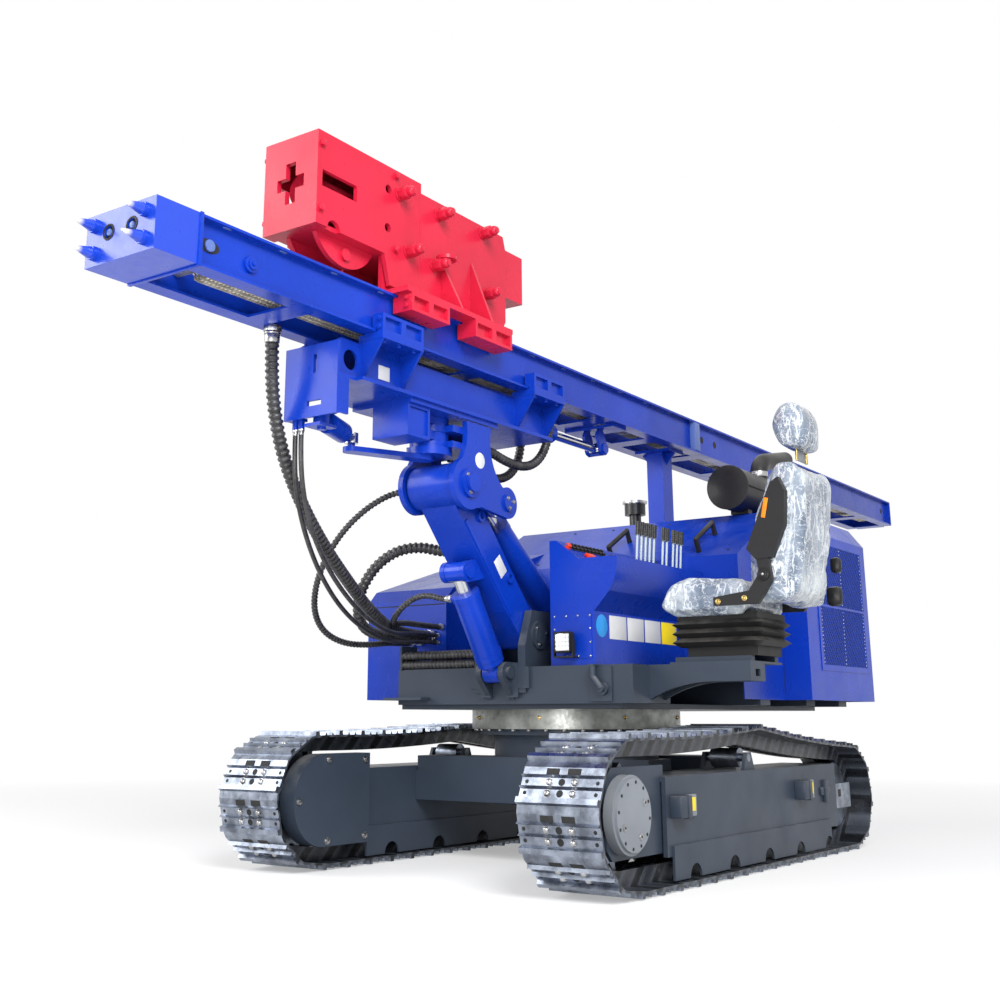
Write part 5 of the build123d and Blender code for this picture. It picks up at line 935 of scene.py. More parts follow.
# The socket screws and the plugs' sockets are small discs of painted shade, for the shade in their sunk
# heads and recesses.
finished("drive_cover_screws", COVERS, [disc(0.0062, 0.0, 0.002, 14, 0.0005)], cover_places, painted_shade)
plug = [disc(0.0125, 0.0, 0.0028, 20, 0.0006), disc(0.0085, 0.0028, 0.005, 16, 0.0006)]
finished("drive_cover_plugs", COVERS, plug, plug_places, bolt_steel)
finished("drive_cover_sockets", COVERS, [disc(0.0052, 0.005, 0.0054, 12)], plug_places, painted_shade)
motor_head = [disc(0.016, 0.0, 0.003, 20), disc(0.0115, 0.003, 0.011, 6, 0.001)]
finished("motor_cover_bolts", TRACK_FRAME, motor_head,
         drive_places(MOTOR_BOLTS, MOTOR_FACE, -1), bolt_steel)

# %% [markdown]
# Under the slewing ring is a circle of bolts with their heads down, and grease nipples stand round
# its side, where a grease gun reaches them. The bolts show from below only, so their heads stay
# plain, while a nipple tapers to its tip, by a resize of its top face in edit mode.

# %% Slewing ring bolts
RING_R, RING_NIPPLES_Z = 0.510, 0.652
RING_BOLTS_R, RING_UNDER = 0.490, 0.6003
nipple = [disc(0.009, 0.0, 0.006, 6, 0.0008), disc(0.0045, 0.006, 0.016, 12, 0.0006, top=0.7)]
nipple_places = [stand((RING_R * x, RING_R * y, RING_NIPPLES_Z), (x, y, 0))
                 for x, y in round_a_ring(8, 12)]
finished("slew_ring_nipples", UPPER_STEEL, nipple, nipple_places, brass)
ring_places = [stand((x, y, RING_UNDER), (0, 0, -1), 0.0, 0.85)
               for x, y in round_a_ring(36, 5, RING_BOLTS_R)]
finished("slew_ring_bolts", UPPER_STEEL, [disc(0.0125, 0.0, 0.012, 6, 0.0012)], ring_places, bolt_steel)

# %% [markdown]
# Two pairs of small boxes on the left frame cover the track tensioner's grease fittings. In each
# pair the front one is a dark cube and the rear one a thin plate with a blank yellow sticker. They
# are bent sheet metal, and boxes with bevelled edges show that well enough at their size, so
# nothing is folded here.

# %% Boxes on the left track frame
FRAME_FACE = 0.925
STICKER_FOOT = FRAME_FACE + 0.018
yellow_film = paint("yellow_film", (0.95, 0.72, 0.01), 0.35, 0.0)


def on_frame(left, right, out, low, high, bevel, foot=FRAME_FACE):
    return box((left, right), (foot, foot + out), (low, high), bevel)


dark_boxes, cover_plates, stickers = [], [], []
for back, rise in ((0.0, 0.0), (1.290, 0.008)):
    dark_boxes.append(on_frame(0.735 - back, 0.835 - back, 0.052, 0.268 + rise, 0.352 + rise, 0.004))
    dark_boxes.append(on_frame(0.770 - back, 0.774 - back, 0.055, 0.264 + rise, 0.356 + rise, 0.001))
    cover_plates.append(on_frame(0.628 - back, 0.728 - back, 0.018, 0.268 + rise, 0.352 + rise, 0.003))
    stickers.append(on_frame(0.640 - back, 0.700 - back, 0.0012, 0.288 + rise, 0.340 + rise, 0.0004,
                             STICKER_FOOT))
finished("tensioner_boxes", TRACK_FRAME, dark_boxes)
finished("tensioner_covers", COVERS, cover_plates)
finished("blank_stickers", COVERS, stickers, material=yellow_film)
finished("frame_lock_plate", TRACK_FRAME,
         [on_frame(-0.900, -0.776, 0.010, 0.280, 0.318, 0.002),
          on_frame(-0.860, -0.816, 0.016, 0.246, 0.352, 0.002)])
# The square hole is a thin plate of painted shade.
finished("frame_square_hole", TRACK_FRAME,
         [on_frame(-1.070, -1.030, 0.0008, 0.262, 0.298, 0.0003)], material=painted_shade)

# %% [markdown]
# The console is folded sheet metal, and rivets hold its front panel. Rivets could be a bump in its
# paint, but a flattened half ball has a real edge that catches the light. One is modelled and
# copied to the places that the photograph shows.

# %% Console rivets
PANEL_FACE = 0.623
RIVETS = [(y, z) for y in (0.274, 0.458) for z in (0.915, 0.975, 1.035, 1.092)]
RIVETS += [(y, z) for y in (0.335, 0.396) for z in (0.915, 1.092)]
finished("console_rivets", UPPER_STEEL, [dome(0.0055, 0.0, 0.0035, 12)],
         [stand((PANEL_FACE, y, z), (1, 0, 0)) for y, z in RIVETS], bolt_steel)


# %% [markdown]
# A row of rocker switches, a stop button, a red block and three gauges lie on the console's slope.
# Their places are given as a share of the way down the slope, which is easier to read off the
# photograph than a height. A rocker is three boxes, the top one off the middle, as if pressed.

# %% Switches and gauges
SLOPE_TOP = Vector((0.0, 0.288, 1.437))
SLOPE_END = Vector((0.0, 0.403, 1.347))
SLOPE_FACING = Vector((0.0, 0.616, 0.788))
SWITCH_COUNT, SWITCH_PITCH = 9, 0.034


def on_slope(x, share, turn=0.0, size=1.0):
    """A place on the console's slope, at a share of the way from its top to its end."""
    return stand(Vector((x, 0.0, 0.0)) + SLOPE_TOP.lerp(SLOPE_END, share), SLOPE_FACING, turn, size)


switch_black = paint("switch_black", (0.010, 0.010, 0.011), 0.32, 0.03)
switch_red = paint("switch_red", (0.75, 0.035, 0.010), 0.35, 0.0)
rocker = [box((-0.013, 0.013), (-0.021, 0.021), (0.0, 0.004), 0.001),
          box((-0.009, 0.009), (-0.016, 0.016), (0.003, 0.013), 0.003),
          box((-0.008, 0.008), (0.002, 0.016), (0.010, 0.019), 0.003)]
finished("console_switches", UPPER_PLASTIC, rocker,
         [on_slope(0.545 - SWITCH_PITCH * number, 0.34, 0.06 * (number % 3))
          for number in range(SWITCH_COUNT)], switch_black)
stop_button = [disc(0.019, 0.0, 0.008, 20, 0.001), disc(0.012, 0.008, 0.018, 20, 0.001),
               dome(0.019, 0.018, 0.010)]
finished("console_stop_button", UPPER_PLASTIC, stop_button,
         [on_slope(0.592, 0.38, size=0.8)], switch_red)
finished("console_red_block", UPPER_PLASTIC, [plate(0.072, 0.032, 0.016, 0.004)],
         [on_slope(0.475, 0.80)], switch_red)
gauge = [disc(0.021, 0.0, 0.006, 24, 0.001), disc(0.018, 0.006, 0.010, 24, 0.002)]
finished("console_gauges", UPPER_PLASTIC, gauge,
         [on_slope(x, 0.45) for x in (0.19, 0.12, 0.05)], switch_black)


# %% [markdown]
# The stickers on the console's side stay blank. A sticker could be a colour in the paint. A thin
# plate with a rounded edge is simple to place, and it lies on the panel as a real film does.

# %% Blank stickers of the console
LABEL_FACE = 0.4802
pale_film = paint("pale_film", (0.66, 0.67, 0.68), 0.35, 0.0)
sky_film = paint("sky_film", (0.03, 0.30, 0.75), 0.35, 0.0)
for name, xs, film in (("console_blank_labels", (0.410, 0.242, 0.074), pale_film),
                       ("console_yellow_label", (-0.094,), yellow_film)):
    finished(name, UPPER_BLUE, [plate(0.156, 0.104)],
             [stand((x, LABEL_FACE, 1.046), (0, 1, 0)) for x in xs], film)
finished("console_blue_label", UPPER_BLUE, [disc(0.050, 0.0, 0.0008, 36, 0.0003)],
         [stand((0.556, LABEL_FACE, 1.048), (0, 1, 0))], sky_film)

# %% [markdown]
# Two CAD pieces have two finishes each, told apart by height: the levers are bright below and black
# at their foot and grip, and the pre-cleaner has a bright cap on a black stem. The pieces could be
# cut in two. A ramp with sharp steps, read by height, leaves each of them whole.

# %% Levers and pre-cleaner
LEVER_HEIGHTS = (1.347, 1.552)
CLEANER_HEIGHTS = (1.700, 1.915)
lever_finish, tree = node_tree("lever_finish")
rise = height_share(tree, *LEVER_HEIGHTS)
grip = ramp(tree, rise, ((0.0, 0.012), (0.088, (0.42, 0.50, 0.50)), (0.683, 0.012)), sharp=True)
shaded(tree, grip, uneven(tree, 80.0, 0.22, 0.38), coat=0.1)
nodes["control_levers"].data.materials[0] = lever_finish
cleaner_finish, tree = node_tree("cleaner_finish")
rise = height_share(tree, *CLEANER_HEIGHTS)
shaded(tree, ramp(tree, rise, ((0.0, 0.014), (0.91, 0.62)), sharp=True),
       uneven(tree, 60.0, 0.28, 0.44), bump(tree, noise(tree, 200.0), 0.1, 0.0006),
       ramp(tree, rise, ((0.0, 0.0), (0.91, 1.0)), sharp=True))
nodes["pre_cleaner"].data.materials[0] = cleaner_finish
print("finishes that change by height:", lever_finish.name, cleaner_finish.name)

# %% [markdown]
# The work lamp has sixteen small lenses over a bright reflector, behind a thin rim. Real glass
# would need many light paths to look clear, so each lens is a shallow half ball with a shiny coat,
# and the gleam on it does the rest.

# %% Work lamp
LAMP_FACE = 0.684
LAMP_Y, LAMP_Z = 0.350, 0.975
LENS_PITCH = 0.018
RIM = (LAMP_FACE, LAMP_FACE + 0.006)
reflector = metal("reflector", (0.85, 0.86, 0.88), 0.16, 200.0, 0.9)
clear_lens, tree = node_tree("clear_lens")
shaded(tree, uneven(tree, 90.0, (0.70, 0.74, 0.78), (0.92, 0.94, 0.96)), 0.08,
       bump(tree, noise(tree, 400.0), 0.05, 0.0003), coat=0.8)
back_plate = box((LAMP_FACE, LAMP_FACE + 0.0012), (0.313, 0.387), (0.938, 1.012), 0.0004)
finished("lamp_reflector", UPPER_PLASTIC, [back_plate], material=reflector)
rim_sides = [box(RIM, (0.308, 0.392), (z - 0.003, z + 0.003), 0.001) for z in (0.934, 1.016)]
rim_sides += [box(RIM, (y - 0.003, y + 0.003), (0.933, 1.017), 0.001) for y in (0.309, 0.391)]
finished("lamp_rim", UPPER_PLASTIC, rim_sides, material=switch_black)
lens_places = [stand((LAMP_FACE + 0.001, LAMP_Y + LENS_PITCH * (column - 1.5),
                      LAMP_Z + LENS_PITCH * (row - 1.5)), (1, 0, 0))
               for column in range(4) for row in range(4)]
finished("lamp_lenses", UPPER_PLASTIC, [dome(0.0075, 0.0, 0.005, 14)], lens_places, clear_lens)

# %% [markdown]
# The seat is dark vinyl over foam, still in its clear delivery film. Each pad starts as the CAD
# solid, softened and a little smaller. It could be sculpted by hand, but cloth simulation with air
# pressure inside swells it as foam fills its cover. A cap keeps it near its place, and ridged noise
# lifts the film into wrinkles.

# %% Shape of the pads
PAD_FRAMES = 20
PAD_PRESSURE = 4.0
RIDGE_TOP = 2.2


def refit(spots, low, high, size):
    """Scales a pad's points to a share of a box, round the box's middle."""
    for axis in range(3):
        least, most = min(spot[axis] for spot in spots), max(spot[axis] for spot in spots)
        for spot in spots:
            share = (spot[axis] - least) / (most - least) - 0.5
            spot[axis] = (low[axis] + high[axis]) / 2 + share * size * (high[axis] - low[axis])


def swollen(pad, cap):
    """Air pressure swells the active pad, and no point moves farther than the cap."""
    before = [vertex.co.copy() for vertex in pad.data.vertices]
    cloth = pad.modifiers.new("swell", "CLOTH")
    cloth.settings.use_pressure = True
    cloth.settings.uniform_pressure_force = PAD_PRESSURE
    cloth.settings.effector_weights.gravity = 0.0
    for number in range(1, PAD_FRAMES + 1):
        bpy.context.scene.frame_set(number)
    bpy.ops.object.modifier_apply(modifier="swell")
    bpy.context.scene.frame_set(1)
    for vertex, old in zip(pad.data.vertices, before):
        move = vertex.co - old
        if move.length > cap:
            vertex.co = old + move * (cap / move.length)


def wrinkled(pad, depth):
    """Ridged noise moves each point along its normal."""
    shifts = []
    for vertex in pad.data.vertices:
        spot = Vector((vertex.co.x * 15.0, vertex.co.y * 11.0, vertex.co.z * 5.0))
        spot += 0.6 * rumple.noise_vector(vertex.co * 7.0)
        ridge = rumple.ridged_multi_fractal(spot, 0.9, 2.1, 4, 0.9, 1.6)
        shifts.append(vertex.normal * (min(ridge, RIDGE_TOP) / RIDGE_TOP - 0.5) * depth)
    for vertex, shift in zip(pad.data.vertices, shifts):
        vertex.co += shift


# %% [markdown]
# A clear film over vinyl could be a second, glassy skin. At this size only its effect shows: a
# milk-white haze over the dark vinyl, with thin painted highlights along the lines where it is
# folded, which also bump the skin. So one material holds both, and a coat on top gives the film's
# shine.

# %% Delivery film


def fold_highlight_lines(tree, scale, detail, stretch, width):
    """Thin lines where stretched noise crosses its middle value, used as painted highlights and as a
    bump.
    """
    pattern = noise(tree, scale, detail, 0.6, stretch=stretch)
    away = maths(tree, "ABSOLUTE", maths(tree, "SUBTRACT", pattern, 0.5))
    return spread(tree, away, 0.0, width, 1.0, 0.0)


seat_film, tree = node_tree("seat_film")
folds_and_highlights = maths(tree, "MAXIMUM", fold_highlight_lines(tree, 7.0, 5.0, (2.6, 1.8, 0.7), 0.030),
              fold_highlight_lines(tree, 13.0, 4.0, (0.8, 1.6, 2.4), 0.016))
haze = ramp(tree, noise(tree, 4.5, 5.0, 0.65, stretch=(1.6, 1.2, 0.8)),
            ((0.36, (0.085, 0.115, 0.165)), (0.52, (0.19, 0.23, 0.29)), (0.68, (0.46, 0.50, 0.52))))
# The near-white mixed in along the fold lines is a painted highlight.
haze_and_highlights = mix_colour(tree, ramp(tree, folds_and_highlights, ((0.0, 0.0), (1.0, 0.70))), haze, (0.76, 0.79, 0.81))
shaded(tree, haze_and_highlights, uneven(tree, 24.0, 0.12, 0.34), bump(tree, folds_and_highlights, 0.45, 0.004), coat=0.6)
print("film", seat_film.name, "with", len(tree.nodes), "nodes")

# %% [markdown]
# A voxel remesh gives the CAD solid an even skin that cloth can move. Smoothing rounds it and
# shrinks it, so it is scaled back to its box before it swells, and one subdivision makes the result
# smooth.

# %% Seat pads
HEADREST_FOOT = 1.7605                 # the headrest's node holds its rods, cut off below this
# Each pad: node, voxel size, rounds of softening, share of its box it starts with, farthest move,
# depth of its wrinkles
PADS = (
    ("seat_cushion", 0.008, 40, 0.955, 0.016, 0.0040),
    ("seat_back", 0.009, 45, 0.955, 0.020, 0.0045),
    ("headrest", 0.007, 260, 0.930, 0.016, 0.0035),
)
for node_name, voxel, soften_rounds, start_size, cap, wrinkle in PADS:
    pad = bpy.data.objects.new(f"{node_name}_pad", nodes[node_name].data.copy())
    bpy.context.scene.collection.objects.link(pad)
    pick(pad)
    low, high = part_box(node_name)
    bpy.ops.object.mode_set(mode="EDIT")
    bpy.ops.mesh.select_all(action="SELECT")
    bpy.ops.mesh.remove_doubles(threshold=0.0001)
    if node_name == "headrest":
        low = (low[0], low[1], HEADREST_FOOT)
        bpy.ops.mesh.bisect(plane_co=low, plane_no=(0, 0, 1), clear_inner=True, use_fill=True)
        bpy.ops.mesh.select_all(action="SELECT")
    bpy.ops.mesh.normals_make_consistent(inside=False)
    bpy.ops.object.mode_set(mode="OBJECT")
    applied("REMESH", mode="VOXEL", voxel_size=voxel)
    applied("SMOOTH", iterations=soften_rounds)
    refit([vertex.co for vertex in pad.data.vertices], low, high, start_size)
    swollen(pad, cap)
    applied("SUBSURF", levels=1, render_levels=1)
    wrinkled(pad, wrinkle)
    finished(f"{node_name}_pad", SEAT, [pad], (), seat_film, (node_name,), smooth=80.0)

# %% [markdown]
# The seat's metal shows at a few places: the headrest's two brass rods with the plate between them,
# the recliner's pivots and screws, the tags on the side covers, and the release handles behind.
# Both sides are alike, so a loop sets the places for the two. A mirror could do it too, but it can
# turn a shape inside out, so copies are turned to each side instead.

# %% Seat metal
SEAT_MIDDLE = 0.335
SEAT_SIDE = 0.2587                     # from the middle to a side cover's face
ROD_SPREAD, ROD_Y = 0.055, 1.365
rods = [disc(0.006, 1.7203, 1.785, 20, 0.0008, (x, ROD_Y))
        for x in (SEAT_MIDDLE - ROD_SPREAD, SEAT_MIDDLE + ROD_SPREAD)]
finished("headrest_rods", UPPER_STEEL, rods, material=brass)
rod_plate = box((SEAT_MIDDLE - 0.040, SEAT_MIDDLE + 0.040), (1.361, 1.366), (1.7205, 1.782), 0.001)
finished("headrest_plate", UPPER_STEEL, [rod_plate], material=materials["grey_paint"])
screw_places, pivot_places, tag_places = [], [], []
for side in (-1, 1):
    face, out = SEAT_MIDDLE + side * SEAT_SIDE, (side, 0, 0)
    screw_places += [stand((face, 1.062, 1.121), out), stand((face, 1.180, 1.130), out)]
    pivot_places.append(stand((face, 1.268, 1.222), out))
    tag_places.append(stand((face + side * 0.004, 1.292, 1.495), out, side * -0.22))
screw = [disc(0.012, 0.0, 0.002, 20, 0.0005), disc(0.0085, 0.002, 0.008, 6, 0.001)]
finished("seat_screws", UPPER_STEEL, screw, screw_places, brass)
pivot = [disc(0.026, 0.0, 0.006, 24, 0.002), disc(0.018, 0.006, 0.010, 24, 0.002)]
finished("seat_pivots", UPPER_PLASTIC, pivot, pivot_places, switch_black)
finished("seat_pivot_pins", UPPER_STEEL, [dome(0.0065, 0.010, 0.004, 14)], pivot_places, bolt_steel)
orange_tag = paint("orange_tag", (0.95, 0.22, 0.01), 0.4, 0.0)
tag = box((-0.009, 0.009), (-0.042, 0.042), (-0.001, 0.004), 0.002)
finished("seat_tags", SEAT, [tag], tag_places, orange_tag)
handles = [box((0.082, 0.128), (1.352, 1.420), (1.120, 1.205), 0.020),
           box((0.088, 0.126), (1.378, 1.426), (1.262, 1.330), 0.016)]
finished("seat_handles", UPPER_PLASTIC, handles, material=switch_black)

# %% [markdown]
# The grille on the hood's bulging side is an opening behind diagonal mesh, held by three rows of
# small rivets, and a thin dark-blue sheet of painted shade stands for the opening's depth. A picture
# of holes would be lighter, but real strands hold their form in a near view. The mesh starts as a
# grid turned by an eighth, is cut to the opening, and a wireframe modifier gives its strands.

# %% Hood grille
GRILLE_X = (-1.604, -0.941)
GRILLE_Z = (0.919, 1.549)
HOOD_FACE = 0.930
MESH_CELL = 0.019
MESH_SIZE = 0.98                       # covers the opening when it is turned
RIVET_ROWS, RIVET_COUNT, RIVET_PITCH = (-1.592, -1.272, -0.953), 32, 0.0195
grille_painted_shade = paint("grille_painted_shade", (0.004, 0.012, 0.10), 0.6, 0.0)
grille_wire = paint("grille_wire", (0.030, 0.070, 0.44), 0.35, 0.0)
# The backing is painted shade: the dark inside of the opening behind the mesh.
backing = box(GRILLE_X, (HOOD_FACE + 0.0002, HOOD_FACE + 0.0007), GRILLE_Z, 0.0001)
finished("grille_backing", UPPER_BLUE, [backing], material=grille_painted_shade)
clear_selection()
cells = round(MESH_SIZE / MESH_CELL)
bpy.ops.mesh.primitive_grid_add(x_subdivisions=cells, y_subdivisions=cells, size=MESH_SIZE,
                                location=(sum(GRILLE_X) / 2, HOOD_FACE + 0.0022, sum(GRILLE_Z) / 2),
                                rotation=(math.pi / 2, math.radians(45), 0))
bpy.ops.object.transform_apply(location=True, rotation=True, scale=True)
bpy.ops.object.mode_set(mode="EDIT")
for place, facing in (((GRILLE_X[0], 0, 0), (-1, 0, 0)), ((GRILLE_X[1], 0, 0), (1, 0, 0)),
                      ((0, 0, GRILLE_Z[0]), (0, 0, -1)), ((0, 0, GRILLE_Z[1]), (0, 0, 1))):
    bpy.ops.mesh.select_all(action="SELECT")
    bpy.ops.mesh.bisect(plane_co=place, plane_no=facing, clear_outer=True)
bpy.ops.object.mode_set(mode="OBJECT")
applied("WIREFRAME", thickness=0.0030)
finished("grille_mesh", UPPER_BLUE, [bpy.context.object], (), grille_wire, smooth=0)
rivet_places = [stand((x, HOOD_FACE + 0.0035, GRILLE_Z[0] + 0.012 + RIVET_PITCH * number), (0, 1, 0))
                for x in RIVET_ROWS for number in range(RIVET_COUNT)]
finished("grille_rivets", UPPER_BLUE, [dome(0.0032, -0.002, 0.0025, 8)], rivet_places, pale_film)

# %% [markdown]
# The hood's panels meet in thin gaps, with latches and screws where a panel opens. A gap could be
# cut into the hood, which would open its closed shape. A narrow strip of painted shade with rounded
# edges that lies a millimetre over the face stands for it instead. The left hood's slope falls
# towards the front, and its screws follow that slope.

# %% Hood joints
GAP = 0.0025                           # half a strip's width
HOOD_LEFT = (0.789, 0.7908)            # each strip lies from just in a face to just before it
HOOD_FRONT = (-0.2455, -0.2442)
BLOCK_FRONT = (0.4695, 0.4708)
HOOD_RIGHT = (-0.9508, -0.9495)
LATCH_Z = 1.20
SLOPE_FOOT = (-0.245, 1.4302)          # x and height where the slope starts at the front
SLOPE_RISE = 0.5446


def gap_at(middle):
    return (middle - GAP, middle + GAP)


seams = [
    box(gap_at(-0.7475), HOOD_LEFT, (0.76, 1.690), 0.0005),
    box(HOOD_FRONT, (-0.445, 0.785), gap_at(1.15), 0.0003),
    box(HOOD_FRONT, gap_at(0.35), (0.880, 1.425), 0.0003),
    box(BLOCK_FRONT, (-0.940, -0.460), gap_at(1.20), 0.0003),
    box((-1.600, -0.250), HOOD_RIGHT, gap_at(1.28), 0.0003),
    box(gap_at(-0.90), HOOD_RIGHT, (0.76, 1.590), 0.0003),
]
finished("hood_seams", UPPER_BLUE, seams, material=painted_shade)
latch_places = [stand((-0.244, y, LATCH_Z), (1, 0, 0)) for y in (-0.10, 0.20, 0.60)]
latch_places += [stand((x, -0.9505, LATCH_Z), (0, -1, 0)) for x in (-1.30, -0.50, 0.20)]
latch = [disc(0.022, 0.0, 0.004, 24, 0.001),
         box((-0.008, 0.008), (-0.018, 0.018), (0.003, 0.012), 0.003)]
finished("hood_latches", UPPER_PLASTIC, latch, latch_places, switch_black)
cap_screws = [stand((x, y, SLOPE_FOOT[1] + SLOPE_RISE * (SLOPE_FOOT[0] - x)), (0.478, 0.0, 0.878))
              for x in (-0.30, -0.70) for y in (-0.40, -0.15, 0.20, 0.42, 0.72)]
finished("hood_screws", UPPER_BLACK, [dome(0.008, 0.0, 0.004, 12)], cap_screws, switch_black)

# %% [markdown]
# The muffler's drum has folded rims, a steel clamp holds the elbow, and the pipe's open end is in
# shade. A rim could be spun from a profile, but a short disc with a wide bevel has the same round
# fold. The pipe isn't hollow, so a disc of painted shade closes its mouth.

# %% Muffler
MUFFLER_Y, MUFFLER_Z = 0.600, 1.830
STACK_X = -1.020
DRUM_ENDS = (-1.130, -0.600)
OUTLET, OUTLET_FACING = (-1.420, MUFFLER_Y, 2.110), (-0.98, 0.0, 0.196)
rims = []
for x in DRUM_ENDS:
    hoop = disc(0.1185, -0.006, 0.006, 48, 0.003)
    hoop.matrix_world = stand((x, MUFFLER_Y, MUFFLER_Z), (1, 0, 0))
    rims.append(hoop)
seam_bar = box((-1.12, -0.61), (0.716, 0.7205), (MUFFLER_Z - 0.004, MUFFLER_Z + 0.004), 0.001)
finished("muffler_rims", UPPER_BLACK, rims + [seam_bar])
clamp = [disc(0.0515, 1.948, 1.976, 40, 0.001, (STACK_X, MUFFLER_Y)),
         box((-0.972, -0.955), (0.590, 0.610), (1.952, 1.972), 0.002)]
finished("muffler_clamp", UPPER_STEEL, clamp, material=bolt_steel)
finished("muffler_bore", UPPER_BLACK, [disc(0.0445, 0.0, 0.0008, 32, 0.0002)],
         [stand(OUTLET, OUTLET_FACING)], painted_shade)

# %% [markdown]
# Along the mast, plug welds show under the top flanges, clamp plates hug the beams over the rest
# post, round holes pierce the webs, and a cap covers the chain's tensioner on each side. A weld is
# a bead of metal that ran out and set, so it is a flat stub, stretched along the beam. The holes
# are discs of painted shade, as on the shoes.

# %% Along the mast
FLANGE_UNDER = 2.340
WEB_FACE = 0.148
WELD_START, WELD_PITCH, WELD_COUNT = 2.60, 0.285, 25
weld_places = [stand((WELD_START - WELD_PITCH * number, side * 0.164, FLANGE_UNDER), (0, 0, -1))
               for number in range(WELD_COUNT) for side in (-1, 1)]
plug_weld = disc(0.0065, 0.0, 0.0022, 12, 0.0006)
plug_weld.scale = (3.2, 1.0, 1.0)
pale_blue = paint("pale_blue_weld", (0.10, 0.16, 0.42), 0.35, 0.0)
finished("mast_plug_welds", MAST, [plug_weld], weld_places, pale_blue)
web_places = [place for x in (-1.273, -1.450, -2.60, -4.55) for place in both_sides(x, WEB_FACE, 2.262)]
finished("mast_web_holes", MAST, [disc(0.021, 0.0, 0.0008, 28, 0.0002)], web_places, painted_shade)
clamps = [box((-1.178, -1.112), (side * 0.1485, side * 0.1835), (2.172, 2.3385), 0.003)
          for side in (-1, 1)]
finished("mast_clamp_plates", MAST, clamps, material=pale_blue)
tensioner_cap = [disc(0.031, -0.021, -0.008, 28, 0.002), disc(0.008, 0.0, 0.006, 6, 0.001)]
finished("chain_tensioner_caps", MAST, tensioner_cap, both_sides(2.468, 0.169, 2.245))

# %% [markdown]
# The mast's foot has bores with a stud and a rubber ring in front, and a slot with a roller on each
# side. The bores are in the CAD solid already, and what stands in them is added here: a disc of
# painted shade at each bore's floor, a stub for each stud and a flattened torus for each soft ring.
# A slot could be cut through the web, but a stretched disc of painted shade behind its roller looks
# the same and leaves the solid whole.

# %% Foot of the mast
FOOT_BORE_X, FOOT_FRONT, FOOT_BORE_Z = 2.9252, 2.9352, 2.270
FOOT_BORES = (-0.060, 0.060)
FOOT_JOINT = (2.728, 2.744)
bore_places = [stand((FOOT_BORE_X, y, FOOT_BORE_Z), (1, 0, 0)) for y in FOOT_BORES]
finished("mast_foot_bore_floors", MAST, [disc(0.0215, -0.004, 0.0, 28, 0.0005)], bore_places, painted_shade)
finished("mast_foot_studs", MAST, [disc(0.0125, 0.0, 0.011, 24, 0.003)], bore_places, pale_blue)
clear_selection()
bpy.ops.mesh.primitive_torus_add(major_segments=32, minor_segments=10, major_radius=0.0265,
                                 minor_radius=0.0045)
bpy.context.object.scale = (1.0, 1.0, 0.5)
finished("mast_foot_rings", ("mast", "black_rubber"), [bpy.context.object],
         [stand((FOOT_FRONT, y, FOOT_BORE_Z), (1, 0, 0)) for y in FOOT_BORES])
slot_mouth = disc(0.026, 0.0, 0.0010, 32, 0.0003)
slot_mouth.scale = (1.95, 1.0, 1.0)
slot_places = both_sides(2.668, WEB_FACE, CHAIN_MIDDLE)
finished("mast_slot_mouths", MAST, [slot_mouth], slot_places, painted_shade)
finished("mast_slot_rollers", MAST, [disc(0.023, 0.0010, 0.012, 28, 0.004)], slot_places, pale_blue)
foot_joint = [box(FOOT_JOINT, (side * 0.1790, side * 0.1865), (2.156, 2.354), 0.002) for side in (-1, 1)]
foot_joint.append(box(FOOT_JOINT, (-0.1865, 0.1865), (2.1545, 2.1605), 0.002))
finished("mast_foot_weld_flange", MAST, foot_joint)

# %% [markdown]
# The foot stands on the ground when a pile is driven, so the paint is worn off its four spikes. A
# spike could get a second material at its tip, but the wear has no sharp edge, so a ramp along the
# mast fades from the paint to pale metal.

# %% Worn tips
tip_finish, tree = node_tree("worn_tips")
worn = ramp(tree, height_share(tree, 2.985, 3.020, "X"), ((0.2, 0.0), (0.9, 1.0)))
shaded(tree, mix_colour(tree, worn, BLUE, (0.62, 0.60, 0.52)), uneven(tree, 30.0, 0.26, 0.42),
       bump(tree, noise(tree, 240.0), 0.08, 0.0006), coat=0.3)
nodes["mast_foot"].data.materials[0] = tip_finish
print("finish of the foot", tip_finish.name)

# %% [markdown]
# A piston rod is bright chrome, and its welded eye is painted with the rest of the machine. The
# paint starts where the rod's bare stretch ends. The rod and its eye are one solid, so the finish
# changes by height: one sharp step in a ramp picks the colour and another the metal's gleam.

# %% Rod eyes
EYES = {"lift_cylinder_rod": 1.236, "tilt_cylinder_rod": 1.548}
for node_name, eye_height in EYES.items():
    rod_finish, tree = node_tree(f"{node_name}_finish")
    share = height_share(tree, eye_height - 0.5, eye_height + 0.5)
    eye = ramp(tree, share, ((0.0, 0.0), (0.5, 1.0)), sharp=True)
    bright = ramp(tree, eye, ((0.0, 1.0), (0.5, 0.0)), sharp=True)
    shaded(tree, mix_colour(tree, eye, CHROME, BLUE), uneven(tree, 30.0, 0.14, 0.26),
           metallic=bright, coat=0.05, shine=0.3)
    nodes[node_name].data.materials[0] = rod_finish
    print(node_name, "is painted past", eye_height, "m")

# %% [markdown]
# The inside of a track is the dark, greasy side, and faces that turn inwards are made darker still
# as painted shade. The chain's links stand there one after another, drawn as stripes with painted
# shade between them and a paler band of painted light on each link. The track is one closed piece,
# so nothing can be painted apart. The paint knows the inside from the direction a face looks, seen
# from the line between the wheels' axles, and the track's edges from faces that look sideways.

